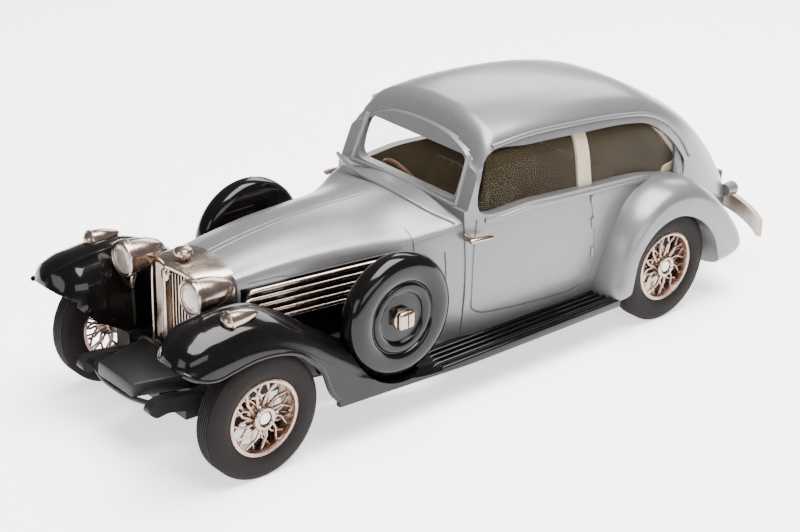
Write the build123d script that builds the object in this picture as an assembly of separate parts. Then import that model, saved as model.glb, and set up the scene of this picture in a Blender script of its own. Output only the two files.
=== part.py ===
"""A 1:43 collector's model of a 1930s two-door fastback sports saloon.

Millimetres.  +X points to the radiator, +Y to the car's left, +Z up.
Everything is laid out from the middle of the wheelbase on the ground and is
moved forward by MID_WHEELBASE_X when it is written, so that the frame's
origin lies under the middle of the whole model's bounding box.
"""
import os
from math import atan2, cos, radians, sin, sqrt

from build123d import *

# ---------------------------------------------------------------- main sizes
MID_WHEELBASE_X = 8.3       # the wheelbase's middle, ahead of the origin
HALF_WHEELBASE = 35.2
WHEEL_Y = 16.05             # middle plane of a wheel
TYRE_RADIUS = 8.2
TYRE_WIDTH = 3.4
RIM_RADIUS = 5.07
RIM_WALL = 0.55
AXLE_RADIUS = 0.75
AXLE_CLEARANCE = 0.05       # running fit in the base plate's bearings
HUB_RADIUS = 1.3
SPOKES = 16
SPOKE_RADIUS = 0.16

WALL = 1.3                  # thickness of the body casting
GLASS_DEPTH = 0.45          # how far the glazing sits below the body's skin
GLASS = 0.4
TRIM = 0.4

PLATE_BOTTOM = 4.4
PLATE_TOP = 5.6
BOARD_TOP = 6.2             # running boards
WING_OUT = 18.0             # outer face of wings and running boards
SKIN = 0.6                  # thickness of the wings' outer skin
REAR_WING_OUT = 18.6

SPARE_X = 13.2
SPARE_Z = 14.6
SPARE_RADIUS = 8.3
SPARE_OUT = 17.4            # outer face of the spare wheel's cover
SPARE_WIDTH = 3.6
SPARE_HUB = 2.9             # the cover's sunk middle, from its back

SCREEN_FOOT = (-1.2, 24.5)  # x and z of the windscreen opening's lower edge
SCREEN_HEAD = (-3.4, 30.2)
SCREEN_HALF = 9.9

LAMP_X = 38.6               # front of the headlamps
LAMP_Y = 7.34
LAMP_Z = 21.15
LAMP_RADIUS = 2.35

SIDES = (("left", 1), ("right", -1))
ENDS = (("front", HALF_WHEELBASE), ("rear", -HALF_WHEELBASE))

# Cross-sections of the bonnet and scuttle, one row each:
# x, half width at the foot, at the side and at the crease, crease height, crown.
BONNET_ROWS = (
    (31.0, 6.30, 6.60, 6.40, 20.8, 22.5),
    (26.0, 6.85, 7.25, 7.05, 21.2, 23.3),
    (20.0, 7.60, 8.10, 7.90, 21.4, 23.95),
    (13.3, 8.60, 9.15, 8.90, 21.1, 24.25),
    (6.0, 10.1, 10.7, 10.4, 20.8, 24.2),
    (1.0, 12.3, 12.9, 12.4, 21.9, 24.5),
    (-3.0, 13.3, 13.9, 13.2, 22.4, 24.9),
)
BONNET_FOOT = 9.4           # ahead of the spare wheels; behind them it meets the sill

# Cross-sections of the cabin and tail, one row each:
# x, half widths at foot, side, sill and shoulder, heights of side, sill,
# shoulder and crown.
CABIN_ROWS = (
    (2.0, 12.5, 13.2, 12.8, 11.2, 15.5, 22.2, 31.0, 33.6),
    (-4.0, 13.3, 14.1, 13.4, 11.7, 16.0, 22.4, 31.6, 34.5),
    (-12.0, 13.8, 14.6, 13.9, 12.1, 16.0, 22.4, 32.0, 35.2),
    (-21.0, 13.9, 14.7, 13.9, 12.1, 16.0, 22.2, 31.6, 35.1),
    (-29.0, 13.6, 14.4, 13.6, 11.8, 16.0, 21.6, 30.8, 34.2),
    (-36.0, 13.0, 13.8, 13.0, 11.2, 15.6, 21.0, 29.4, 32.4),
    (-42.0, 12.2, 12.9, 12.3, 10.4, 14.8, 19.8, 27.0, 29.4),
    (-48.0, 11.0, 11.7, 11.2, 9.2, 13.6, 17.8, 23.4, 25.8),
    (-53.0, 9.6, 10.2, 9.8, 7.8, 12.2, 15.4, 19.4, 21.6),
    (-57.0, 8.0, 8.6, 8.2, 6.3, 10.6, 12.9, 15.6, 17.4),
    (-59.8, 6.4, 6.9, 6.5, 4.9, 9.0, 10.4, 12.0, 13.2),
    (-61.4, 4.6, 5.0, 4.8, 3.6, 7.4, 8.1, 8.9, 9.6),
)
CABIN_FOOT = 5.7

# Side windows: one opening each side that takes in door and rear quarter.
WINDOW_OUTLINE = (
    (-2.9, 23.5), (-4.9, 30.6), (-12.0, 30.7), (-22.0, 30.0), (-30.0, 29.2),
    (-35.5, 27.9), (-39.6, 25.4), (-43.0, 22.0), (-44.1, 20.2), (-43.2, 19.2),
    (-40.0, 19.6), (-32.8, 21.2), (-22.6, 22.2), (-12.0, 23.0),
)

# Rear wing outline, seen from the side.
REAR_WING_OUTLINE = (
    (-24.4, 5.2), (-25.0, 10.0), (-26.6, 14.6), (-29.6, 18.2), (-34.6, 20.3),
    (-40.2, 19.8), (-45.2, 17.0), (-49.4, 12.8), (-51.9, 8.6), (-51.2, 6.2),
    (-48.6, 5.0), (-44.0, 4.8), (-36.0, 4.8), (-29.0, 4.8),
)
REAR_OPENING = (
    (-26.6, 4.0), (-27.6, 7.4), (-28.7, 11.8), (-31.9, 15.0), (-36.4, 15.9),
    (-41.3, 13.8), (-44.2, 10.5), (-45.4, 7.2), (-46.4, 5.2), (-47.2, 4.0),
)

# Front wing, seen from the side: x, inner and outer edge, crown height.
WING_ROWS = (
    (46.6, 11.4, 15.8, 18.2),
    (45.9, 10.2, 17.0, 19.3),
    (44.0, 8.6, 17.8, 20.5),
    (41.0, 8.2, 18.0, 21.0),
    (37.0, 8.2, 18.0, 21.2),
    (33.0, 8.2, 18.0, 20.5),
    (29.0, 8.2, 18.0, 18.5),
    (25.0, 8.2, 18.0, 15.6),
    (20.0, 8.4, 18.0, 12.1),
    (15.0, 9.2, 18.0, 9.0),
    (10.5, 10.6, 18.0, 6.9),
    (6.0, 12.6, 18.0, 6.2),
)
WING_FOOT = 4.9
UNDER_LIP = (
    (24.0, 0), (24.0, 6.9), (25.2, 8.4), (26.6, 11.9), (28.6, 14.0), (30.8, 15.5), (33.6, 16.3),
    (36.4, 16.5), (39.6, 16.1), (42.0, 15.7), (44.4, 16.2), (46.0, 17.1), (49.0, 19.4), (49.0, 0),
)
INNER_FRONT = (
    (26.0, 0), (26.0, 10.4), (37.5, 10.4), (42.0, 13.0), (45.0, 16.2), (49.0, 18.8), (49.0, 0),
)

# Trim behind the side glass: the door pillar and the light crescent at the back.
PILLAR_OUTLINE = ((-20.4, 31.5), (-22.6, 31.5), (-24.0, 21.0), (-21.4, 21.0))
QUARTER_OUTLINE = (
    (-37.4, 28.4), (-40.6, 25.8), (-43.6, 22.4), (-45.4, 20.2), (-43.6, 18.4), (-39.0, 18.6),
    (-40.0, 20.3), (-42.3, 20.4), (-43.0, 21.0), (-41.6, 22.6), (-39.4, 24.9), (-37.0, 27.2),
)

# Underneath: half of the base plate's outline from above, and its two screws.
PLATE_HALF_OUTLINE = (
    (39.0, 6.4), (20.0, 7.4), (8.0, 10.0), (-2.0, 12.2), (-23.6, 12.2), (-24.0, 11.2),
    (-44.0, 10.6), (-56.0, 7.2),
)
BEARING_HALF_WIDTH = 2.0    # of each axle bearing, along the car
BEARING_OUT = 11.6
SCREW_PLACES = (21.0, -48.0)
POST_TOPS = (22.6, 24.0)    # where the screws' posts meet the body
POST_RADIUS = 2.0
SCREW_RADIUS = 0.8
SCREW_HEAD_RADIUS = 1.6
SCREW_HEAD_DEPTH = 0.7
SCREW_REACH = 3.0           # above the plate's top

CROSS_TUBE_CLEAR = 1.05     # radius cut from the apron round the front axle
LOUVRE_TOP = 19.3
LOUVRE_PITCH = 1.05
LOUVRE_HALF = 0.26
LOUVRE_PROUD = 0.35

# Rear bumper: half span, how far it is bowed, blade thickness and height.
BUMPER_HALF = 16.5
BUMPER_BOW = 5.7
BUMPER_BLADE = 0.8
BUMPER_HEIGHT = 2.6
BUMPER_Z = 7.7
BUMPER_BACK = -63.2

STEERING_CENTRE = (-6.2, -6.0, 21.2)
STEERING_TILT = (-0.85, 0.0, 0.52)
STEERING_RADIUS = 3.4


def side_prism(points, y_low, y_high, smooth=False):
    """A closed outline of (x, z) points, solid between two values of y."""
    corners = [Vector(x, y_high, z) for x, z in points]
    if smooth:
        wire = Wire([Edge.make_spline(corners, periodic=True)])
    else:
        wire = Wire.make_polygon(corners, close=True)
    return extrude(Face(wire), amount=y_high - y_low, dir=(0, -1, 0))


def plan_prism(points, z_low, z_high):
    """A closed outline of (x, y) points, solid between two heights."""
    corners = [Vector(x, y, z_low) for x, y in points]
    return extrude(Face(Wire.make_polygon(corners, close=True)), amount=z_high - z_low, dir=(0, 0, 1))


def block(x_low, x_high, y_low, y_high, z_low, z_high):
    size = (x_high - x_low, y_high - y_low, z_high - z_low)
    middle = ((x_high + x_low) / 2, (y_high + y_low) / 2, (z_high + z_low) / 2)
    return Pos(*middle) * Box(*size)


def rod(start, end, radius):
    """A round bar from one point to another."""
    start, end = Vector(*start), Vector(*end)
    return Solid.make_cylinder(radius, (end - start).length, Plane(origin=start, z_dir=end - start))


def disc_y(x, z, y_low, y_high, radius):
    """A disc or bar whose axis lies along Y."""
    return rod((x, y_low, z), (x, y_high, z), radius)


def turned(points, origin, axis):
    """A body of revolution: (radius, distance along axis) points."""
    plane = Plane(origin=origin, x_dir=(0, 0, 1), z_dir=Vector(*axis).cross(Vector(0, 0, 1)) * -1)
    outline = Wire.make_polygon([plane.from_local_coords(Vector(r, a, 0)) for r, a in points], close=True)
    return revolve(Face(outline), axis=Axis(origin, axis), revolution_arc=360)


def other_side(solid):
    return mirror(solid, about=Plane.XZ)


def sided(solid, sign):
    return solid if sign > 0 else other_side(solid)


def spanned(x, half_points):
    """A closed section at x: half_points run (y, z) from the foot to the crown."""
    right = [Vector(x, -y, z) for y, z in half_points]
    left = [Vector(x, y, z) for y, z in reversed(half_points[:-1])]
    top = Edge.make_spline(right + left)
    return Wire([top, Edge.make_line(left[-1], right[0])])


def bonnet(inset=0.0, rows=BONNET_ROWS, drop=0.0):
    """The bonnet and scuttle as one solid, shrunk by inset on sides and top."""
    wires = []
    for x, y_foot, y_side, y_crease, z_crease, z_crown in rows:
        foot = (BONNET_FOOT if x > SPARE_X else CABIN_FOOT) - drop
        rise = z_crown - z_crease
        half = (
            (y_foot - inset, foot),
            (y_side - inset, (foot + z_crease) / 2 + 1.0),
            (y_crease - inset, z_crease - inset),
            (y_crease * 0.72, z_crease + rise * 0.50 - inset),
            (y_crease * 0.38, z_crease + rise * 0.86 - inset),
            (0, z_crown - inset),
        )
        wires.append(spanned(x, half))
    return Solid.make_loft(wires)


def cabin(inset=0.0, foot=CABIN_FOOT):
    """The cabin and tail as one solid, shrunk by inset all round but the foot."""
    wires = []
    for x, y_foot, y_side, y_sill, y_shoulder, z_side, z_sill, z_shoulder, z_crown in CABIN_ROWS:
        half = (
            (y_foot - inset, foot),
            (y_side - inset, foot + (z_side - foot) * 0.75),
            (y_sill - inset, z_sill - inset * 0.3),
            (y_shoulder - inset * 0.9, z_shoulder - inset * 0.7),
            (y_shoulder * 0.62, z_shoulder + (z_crown - z_shoulder) * 0.76 - inset),
            (0, z_crown - inset),
        )
        wires.append(spanned(x, half))
    return Solid.make_loft(wires)


def screen_x(z):
    """Where the windscreen's face is at height z."""
    slope = (SCREEN_HEAD[0] - SCREEN_FOOT[0]) / (SCREEN_HEAD[1] - SCREEN_FOOT[1])
    return SCREEN_FOOT[0] + slope * (z - SCREEN_FOOT[1])


def screen_slab(front, back, z_low, z_high, half):
    """A slab parallel to the windscreen, from front to back behind its face."""
    outline = (
        (screen_x(z_low) - front, z_low), (screen_x(z_high) - front, z_high),
        (screen_x(z_high) - back, z_high), (screen_x(z_low) - back, z_low),
    )
    return side_prism(outline, -half, half)


def shrunk(points, inset):
    """The outline moved inwards by inset, point by point."""
    moved = []
    for i, (x, z) in enumerate(points):
        before, after = points[i - 1], points[(i + 1) % len(points)]
        along = (after[0] - before[0], after[1] - before[1])
        length = sqrt(along[0] ** 2 + along[1] ** 2)
        moved.append((x - along[1] / length * inset, z + along[0] / length * inset))
    return moved


def domed(points, levels):
    """A bulging solid: the outline at each y, moved inwards by that level's inset."""
    wires = []
    for y, inset in levels:
        corners = [Vector(x, y, z) for x, z in shrunk(points, inset)]
        wires.append(Wire([Edge.make_spline(corners, periodic=True)]))
    return Solid.make_loft(wires)


# ------------------------------------------------------------- body casting
def rear_wing_block():
    levels = ((11.5, 0.0), (14.6, 0.05), (16.6, 0.5), (17.8, 1.1), (REAR_WING_OUT, 2.0))
    return domed(REAR_WING_OUTLINE, levels)


def rear_wing_room():
    """What is cut from a rear wing: the wheel's room and the opening beside it."""
    inside = REAR_WING_OUT - SKIN
    room = disc_y(-HALF_WHEELBASE, TYRE_RADIUS, 14.0, inside, TYRE_RADIUS + 0.5)
    room += block(-HALF_WHEELBASE - 8.7, -HALF_WHEELBASE + 7.9, 14.0, inside, 0, TYRE_RADIUS)
    opening = side_prism(REAR_OPENING, 14.0, REAR_WING_OUT + 1)
    return room + opening


def outer_body():
    """The casting's outer form, solid all through, without wheel openings."""
    ahead = side_prism(((screen_x(24.0), 24.0), (screen_x(36.0), 36.0), (6, 36), (6, 24.0)), -16, 16)
    cabin_part = cabin() - ahead
    cabin_part -= block(-0.5, 6, -16, 16, 0, 40)
    body = cabin_part + bonnet()
    for _, sign in SIDES:
        body += sided(rear_wing_block(), sign)
    return body


def body_shell(solid_body):
    shell = solid_body
    for _, sign in SIDES:
        shell -= sided(rear_wing_room(), sign)
    shell -= block(-HALF_WHEELBASE - 1.2, -HALF_WHEELBASE + 1.2, -17, 17, 0, TYRE_RADIUS + 1.2)
    cavity_rows = tuple(row for row in BONNET_ROWS if 1 <= row[0] < 31)
    under_bonnet = bonnet(WALL, cavity_rows, 4)
    lower, upper = screen_x(20) - WALL, screen_x(36) - WALL
    ahead = side_prism(((lower, 0), (lower, 20), (upper, 36), (9, 36), (9, 0)), -16, 16)
    shell -= under_bonnet
    shell -= cabin(WALL, CABIN_FOOT - 2) - ahead
    shell -= block(lower - 0.1, 1.1, -11.2, 11.2, 0, 20.0)
    shell -= block(-0.4, SPARE_X, -12.4, 12.4, 0, PLATE_TOP + 0.05)
    shell -= side_prism(WINDOW_OUTLINE, -20, 20)
    shell -= screen_slab(-3, 6, SCREEN_FOOT[1], SCREEN_HEAD[1], SCREEN_HALF)
    for _, sign in SIDES:
        pane = block(-56, -40, 0.7, 4.6, 24.2, 27.2)
        shell -= sided(pane, sign)
    return shell


# --------------------------------------------------------------- black wings
def wing_form(inset, foot, rows=WING_ROWS):
    wires = []
    for x, y_in, y_out, z_crown in rows:
        depth = min(3.9, (z_crown - WING_FOOT) * 0.5)
        y_in, y_out, z_crown = y_in + inset, y_out - inset, z_crown - inset
        width = y_out - y_in
        points = (
            (y_in, foot),
            (y_in, z_crown - depth * 1.4),
            (y_in + width * 0.17, z_crown - depth * 0.55),
            (y_in + width * 0.54, z_crown),
            (y_out - width * 0.12, z_crown - depth * 0.32),
            (y_out, z_crown - depth),
            (y_out, foot),
        )
        corners = [Vector(x, y, z) for y, z in points]
        crown = Edge.make_spline(corners[1:6], tangents=[Vector(0, 0, 1), Vector(0, 0, -1)])
        wires.append(Wire([
            Edge.make_line(corners[0], corners[1]), crown,
            Edge.make_line(corners[5], corners[6]), Edge.make_line(corners[6], corners[0]),
        ]))
    return Solid.make_loft(wires)


def wing_room():
    """The hollow under a front wing."""
    rows = tuple(row for row in WING_ROWS if 20 < row[0] < 46)
    return wing_form(0.75, WING_FOOT - 2, rows)


def front_wing(solid_body, lamp):
    wing = wing_form(0.0, WING_FOOT)
    wing -= wing_room()
    wing -= side_prism(UNDER_LIP, 9.0, 20)
    wing -= side_prism(INNER_FRONT, 6, 9.01)
    board = ((7.0, 4.9), (7.0, BOARD_TOP), (-25.6, BOARD_TOP - 0.3), (-26.0, 4.7))
    wing += side_prism(board, 12.4, WING_OUT)
    for step in range(5):
        y = 14.35 + 0.75 * step
        wing += side_prism(((6.0, 5.8), (6.0, 6.50), (-25.0, 6.2), (-25.0, 5.5)), y, y + 0.36)
    underside = ((24.0, 0), (24.0, 6.0), (2.0, 4.95), (-30, 4.6), (-30, 0))
    wing -= side_prism(underside, 6, 20)
    wing -= side_prism(((12, 0), (12, 5.3), (-30, 5.1), (-30, 0)), 6, 17.3)
    wing -= solid_body
    wing -= lamp
    wing -= disc_y(SPARE_X, SPARE_Z, SPARE_OUT - SPARE_WIDTH, 30, SPARE_RADIUS)
    return wing


def front_apron():
    """The black tray between the dumb irons, with the dumb irons on its sides."""
    outline = ((37.0, -6.0), (45.1, -3.9), (45.1, 3.9), (37.0, 6.0))
    tray = plan_prism(outline, 8.0, 10.6)
    tray -= side_prism(((44.0, 7.9), (45.6, 9.8), (46, 7.9)), -6, 6)
    tray += block(36.0, 38.0, -8.4, 8.4, 6.4, 8.2)
    for _, sign in SIDES:
        iron = (
            (30.0, 6.2), (30.0, 8.2), (38.0, 8.4), (42.4, 9.4), (44.6, 9.4), (45.4, 8.3),
            (44.4, 7.3), (42.6, 7.4), (38.0, 6.2),
        )
        tray += sided(side_prism(iron, 6.8, 8.2), sign)
    return tray - disc_y(HALF_WHEELBASE, TYRE_RADIUS, -10, 10, CROSS_TUBE_CLEAR)


# ----------------------------------------------------------------- underneath
def base_plate():
    other_half = tuple((x, -y) for x, y in reversed(PLATE_HALF_OUTLINE))
    plate = plan_prism(PLATE_HALF_OUTLINE + other_half, PLATE_BOTTOM, PLATE_TOP)
    for _, axle_x in ENDS:
        back, front = axle_x - BEARING_HALF_WIDTH, axle_x + BEARING_HALF_WIDTH
        plate += block(back, front, -BEARING_OUT, BEARING_OUT, PLATE_BOTTOM, PLATE_TOP)
        for _, sign in SIDES:
            bearing = block(back, front, BEARING_OUT - 3.0, BEARING_OUT, PLATE_BOTTOM, TYRE_RADIUS + 1.5)
            plate += sided(bearing, sign)
        plate -= disc_y(axle_x, TYRE_RADIUS, -12, 12, AXLE_RADIUS + AXLE_CLEARANCE)
    for x in SCREW_PLACES:
        plate -= rod((x, 0, PLATE_BOTTOM), (x, 0, PLATE_TOP), SCREW_RADIUS)
        plate -= rod((x, 0, PLATE_BOTTOM), (x, 0, PLATE_BOTTOM + SCREW_HEAD_DEPTH), SCREW_HEAD_RADIUS)
    return plate


def base_screws():
    screws = []
    head_top = PLATE_BOTTOM + SCREW_HEAD_DEPTH
    for x in SCREW_PLACES:
        screw = rod((x, 0, PLATE_BOTTOM + 0.1), (x, 0, head_top), SCREW_HEAD_RADIUS)
        screw += rod((x, 0, head_top), (x, 0, PLATE_TOP + SCREW_REACH), SCREW_RADIUS)
        screw -= block(x - 1.3, x + 1.3, -0.2, 0.2, PLATE_BOTTOM, PLATE_BOTTOM + 0.35)
        screws.append(screw)
    return Compound(screws)


def screw_posts():
    """Pillars cast inside the body that take the base plate's screws."""
    posts = []
    for x, top in zip(SCREW_PLACES, POST_TOPS):
        post = rod((x, 0, PLATE_TOP), (x, 0, top), POST_RADIUS)
        posts.append(post - rod((x, 0, PLATE_TOP), (x, 0, PLATE_TOP + SCREW_REACH), SCREW_RADIUS))
    return posts


# ---------------------------------------------------------------- front end
def radiator_form(inset):
    """The veed radiator's outer form, shrunk by inset at sides, top and foot."""
    half = (
        (6.3 - inset, 9.2 + inset), (6.45 - inset, 15.0), (6.25 - inset, 20.2 - inset * 0.4),
        (5.0 - inset * 0.7, 21.75 - inset), (2.5, 22.45 - inset), (0, 22.75 - inset),
    )
    front = spanned(40.0, half)
    solid = extrude(Face(front), amount=9.3, dir=(-1, 0, 0))
    for _, sign in SIDES:
        solid -= plan_prism(((37.1, 0), (34.7, 8 * sign), (45, 8 * sign), (45, 0)), 0, 40)
    return solid


def radiator_shell(solid_body):
    shell = radiator_form(0.0) - solid_body
    opening = radiator_form(0.75)
    opening -= block(30, 33.4, -9, 9, 0, 40)
    shell -= opening
    shell += side_prism(((36.2, 9.2), (37.3, 9.2), (37.3, 22.0), (36.2, 22.0)), -0.3, 0.3)
    return shell


def radiator_grille():
    """The slatted core: a plate behind the shell's opening with upright slats."""
    core = radiator_form(0.75)
    core -= block(30, 33.4, -9, 9, 0, 40)
    back = core & block(30, 40, -9, 9, 0, 40)
    for _, sign in SIDES:
        back -= plan_prism(((36.3, 0), (33.9, 8 * sign), (45, 8 * sign), (45, 0)), 0, 40)
    slats = back
    for count in range(9):
        y = 0.62 + 0.58 * count
        for _, sign in SIDES:
            x = 36.75 - 0.3 * y
            slats += block(x - 1.2, x, sign * y - 0.13, sign * y + 0.13, 9.6, 20.3) & core
    return slats - side_prism(((36.2, 9.2), (37.3, 9.2), (37.3, 22.0), (36.2, 22.0)), -0.3, 0.3)


def radiator_cap():
    profile = (
        (0, 22.4), (0.55, 22.4), (0.55, 23.3), (1.1, 23.3), (1.2, 23.6), (1.15, 24.1), (0.7, 24.3),
        (0, 24.3),
    )
    outline = Wire.make_polygon([Vector(34.4 + r, 0, z) for r, z in profile], close=True)
    return revolve(Face(outline), axis=Axis((34.4, 0, 0), (0, 0, 1)), revolution_arc=360)


def headlamp():
    """Bullet-shaped shell with a rim; the lens sits in its mouth."""
    profile = (
        (0, -6.2), (0.55, -6.05), (1.15, -5.4), (1.7, -4.2), (2.05, -2.8), (2.2, -1.3), (2.2, -0.9),
        (LAMP_RADIUS, -0.8), (LAMP_RADIUS, 0), (2.05, 0), (2.05, -0.5), (0, -0.5),
    )
    return turned(profile, (LAMP_X, LAMP_Y, LAMP_Z), (1, 0, 0))


def headlamp_lens():
    profile = ((0, -0.5), (2.05, -0.5), (2.05, -0.15), (1.2, 0.0), (0, 0.05))
    return turned(profile, (LAMP_X, LAMP_Y, LAMP_Z), (1, 0, 0))


def headlamp_stay(lamp, wing, shell):
    foot = (36.2, 8.5, 15.6)
    stay = rod(foot, (36.5, 7.5, 19.6), 0.45)
    return max((stay - lamp - wing - shell).solids(), key=lambda solid: solid.volume)


def sidelamp(wing):
    lamp = turned(((0, -2.7), (0.7, -2.2), (1.15, -0.6), (1.25, 0.8), (1.25, 1.7), (0.9, 2.1), (0, 2.25)),
                  (37.0, 14.85, 20.9), (1, 0, 0))
    foot = block(35.4, 38.6, 14.35, 15.35, 19.0, 20.9)
    return max((lamp + foot - wing - wing_room()).solids(), key=lambda solid: solid.volume)


def louvres(solid_body):
    """Five bright ribs on the bonnet's side, as strips that stand off it."""
    ribs = []
    skin = bonnet(-LOUVRE_PROUD)
    for count in range(5):
        z = LOUVRE_TOP - LOUVRE_PITCH * count
        front = 30.2 if 0 < count < 4 else 29.4
        strip = skin & block(12.0, front, 5, 12, z - LOUVRE_HALF, z + LOUVRE_HALF)
        ribs.append(strip - solid_body)
    return ribs


# -------------------------------------------------------------- spare wheels
def spare_wheel(solid_body):
    """A spare wheel under its pressed cover, let into the wing's well."""
    rings = (
        (0, 0), (SPARE_RADIUS - 1.2, 0), (SPARE_RADIUS - 0.25, 0.7), (SPARE_RADIUS, 1.7),
        (SPARE_RADIUS - 0.15, 2.8), (SPARE_RADIUS - 0.8, 3.45), (SPARE_RADIUS - 2.0, SPARE_WIDTH),
        (4.9, 3.5), (4.8, 3.2), (4.6, 3.4), (3.4, 3.3), (3.2, SPARE_HUB), (0, SPARE_HUB),
    )
    wheel = turned(rings, (SPARE_X, SPARE_OUT - SPARE_WIDTH, SPARE_Z), (0, 1, 0))
    return wheel - solid_body


def spare_nut():
    y = SPARE_OUT - SPARE_WIDTH + SPARE_HUB
    nut = disc_y(SPARE_X, SPARE_Z, y, y + 0.8, 1.4) + disc_y(SPARE_X, SPARE_Z, y + 0.8, y + 1.9, 1.15)
    return nut - block(SPARE_X - 0.12, SPARE_X + 0.12, y + 1.6, y + 2, SPARE_Z - 2, SPARE_Z + 2)


# ------------------------------------------------------------ glass and trim
def skin_layer(outer, inner):
    return cabin(outer) - cabin(inner)


def side_layer(layer, outline, sign):
    low, high = (0, 20) if sign > 0 else (-20, 0)
    return layer & side_prism(outline, low, high)


def rear_glazing():
    layer = skin_layer(GLASS_DEPTH, GLASS_DEPTH + GLASS)
    panes = []
    for _, sign in SIDES:
        panes.append(layer & sided(block(-56, -40, 0.7, 4.6, 24.2, 27.2), sign))
    return Compound([solid for pane in panes for solid in pane.solids()])


def windscreen():
    return screen_slab(GLASS_DEPTH, GLASS_DEPTH + GLASS, SCREEN_FOOT[1], SCREEN_HEAD[1], SCREEN_HALF)


def door_handle():
    """A short grip on one foot, pointing back from its pivot."""
    grip = rod((-3.6, 15.0, 20.5), (0.2, 15.0, 20.8), 0.32)
    foot = rod((-0.4, 13.2, 20.75), (-0.4, 15.0, 20.75), 0.38)
    return grip + foot


# ------------------------------------------------------------------ rear end
def rear_bumper(solid_body):
    """A bowed blade on two arms."""
    radius = (BUMPER_HALF ** 2 + BUMPER_BOW ** 2) / (2 * BUMPER_BOW)
    centre_x = BUMPER_BACK + radius
    span = atan2(BUMPER_HALF, radius - BUMPER_BOW)
    low = BUMPER_Z - BUMPER_HEIGHT / 2
    ring = Solid.make_cylinder(radius, BUMPER_HEIGHT, Plane(origin=(centre_x, 0, low)))
    ring -= Solid.make_cylinder(radius - BUMPER_BLADE, BUMPER_HEIGHT, Plane(origin=(centre_x, 0, low)))
    reach = radius * 2
    end_x, end_y = centre_x - reach * cos(span), reach * sin(span)
    outline = ((centre_x, 0), (end_x, end_y), (centre_x - reach * 1.2, 0), (end_x, -end_y))
    bumper = ring & plan_prism(outline, low - 1, low + BUMPER_HEIGHT + 1)
    for _, sign in SIDES:
        y = sign * 3.2
        bumper += block(-62.4, -57.0, y - 0.5, y + 0.5, BUMPER_Z - 0.6, BUMPER_Z + 0.6)
    return bumper - solid_body


def tail_lamp(solid_body):
    """A small rounded pod low on the tail."""
    profile = ((0, -2.4), (0.95, -2.4), (1.1, -0.6), (0.8, -0.15), (0, 0))
    return turned(profile, (-60.6, 8.2, 10.9), (-1, 0, 0)) - solid_body


def rear_plate(solid_body):
    plate = block(-62.2, -61.0, -4.2, 4.2, 9.4, 11.9)
    return plate - solid_body


# ------------------------------------------------------------------ interior
def cabin_floor():
    return block(-31.0, -1.6, -11.3, 11.3, PLATE_TOP, 6.6)


def bench(x_front, x_back, y_low, y_high, seat_z, back_z, lean):
    """A cushion and a leaning back, as one padded shape on the floor."""
    outline = (
        (x_front, 6.6), (x_front, seat_z - 0.6), (x_front - 0.8, seat_z), (x_back + 1.4, seat_z - 0.5),
        (x_back + 1.4 - lean, back_z), (x_back - lean, back_z), (x_back - lean * 0.2, 6.6),
    )
    return side_prism(outline, y_low, y_high)


def steering_wheel():
    centre = Vector(*STEERING_CENTRE)
    tilt = Vector(*STEERING_TILT).normalized()
    plane = Plane(origin=centre, z_dir=tilt)
    wheel = Solid.make_torus(STEERING_RADIUS, 0.3, plane)
    wheel += Solid.make_cylinder(0.7, 0.6, Plane(origin=centre - tilt * 0.3, z_dir=tilt))
    for turn in range(3):
        angle = radians(120 * turn)
        way = plane.from_local_coords(Vector(sin(angle), cos(angle), 0)) - centre
        wheel += Solid.make_cylinder(0.2, 3.3, Plane(origin=centre, z_dir=way))
    return wheel, centre, tilt


# ------------------------------------------------------------------- running
def tyre(x, y):
    half, inner = TYRE_WIDTH / 2, RIM_RADIUS
    rings = (
        (inner, -half * 0.82), (inner + 0.9, -half), (TYRE_RADIUS - 1.0, -half * 0.97),
        (TYRE_RADIUS - 0.25, -half * 0.74), (TYRE_RADIUS, -half * 0.45), (TYRE_RADIUS, half * 0.45),
        (TYRE_RADIUS - 0.25, half * 0.74), (TYRE_RADIUS - 1.0, half * 0.97), (inner + 0.9, half),
        (inner, half * 0.82),
    )
    return turned(rings, (x, y, TYRE_RADIUS), (0, 1, 0))


def wheel(x, y):
    """Rim, hub and laced spokes, bored for the axle; its face looks outwards."""
    half = TYRE_WIDTH / 2
    profile = (
        (RIM_RADIUS - RIM_WALL, -half), (RIM_RADIUS, -half * 0.8), (RIM_RADIUS, half * 0.8),
        (RIM_RADIUS - 0.15, half * 0.95), (RIM_RADIUS - RIM_WALL, half * 0.9),
    )
    rim = turned(profile, (x, y, TYRE_RADIUS), (0, 1, 0))
    hub = disc_y(x, TYRE_RADIUS, y - half * 0.9, y + half * 0.7, HUB_RADIUS)
    whole = rim + hub
    for count in range(SPOKES):
        for lean, depth in ((28, 0.62), (-28, 0.25)):
            start = radians(360 / SPOKES * count)
            end = start + radians(lean)
            inner = (x + 0.9 * cos(start), y + half * depth * 0.9, TYRE_RADIUS + 0.9 * sin(start))
            outer_r = RIM_RADIUS - RIM_WALL / 2
            outer = (x + outer_r * cos(end), y + half * (depth - 0.55), TYRE_RADIUS + outer_r * sin(end))
            whole += rod(inner, outer, SPOKE_RADIUS)
    whole -= disc_y(x, TYRE_RADIUS, y - half - 1, y + half + 1, AXLE_RADIUS)
    return whole


def hub_cap(x, sign):
    """The knock-off ring on the wheel's face, round the axle's end."""
    face = WHEEL_Y + TYRE_WIDTH / 2 * 0.7
    ring = turned(((0.95, 0), (1.57, 0), (1.57, 0.35), (1.4, 0.55), (0.95, 0.55)),
                  (x, face, TYRE_RADIUS), (0, 1, 0))
    return sided(ring, sign)


def axle(x):
    end = WHEEL_Y + TYRE_WIDTH / 2 * 0.7 + 0.35
    return disc_y(x, TYRE_RADIUS, -end, end, AXLE_RADIUS)


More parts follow.
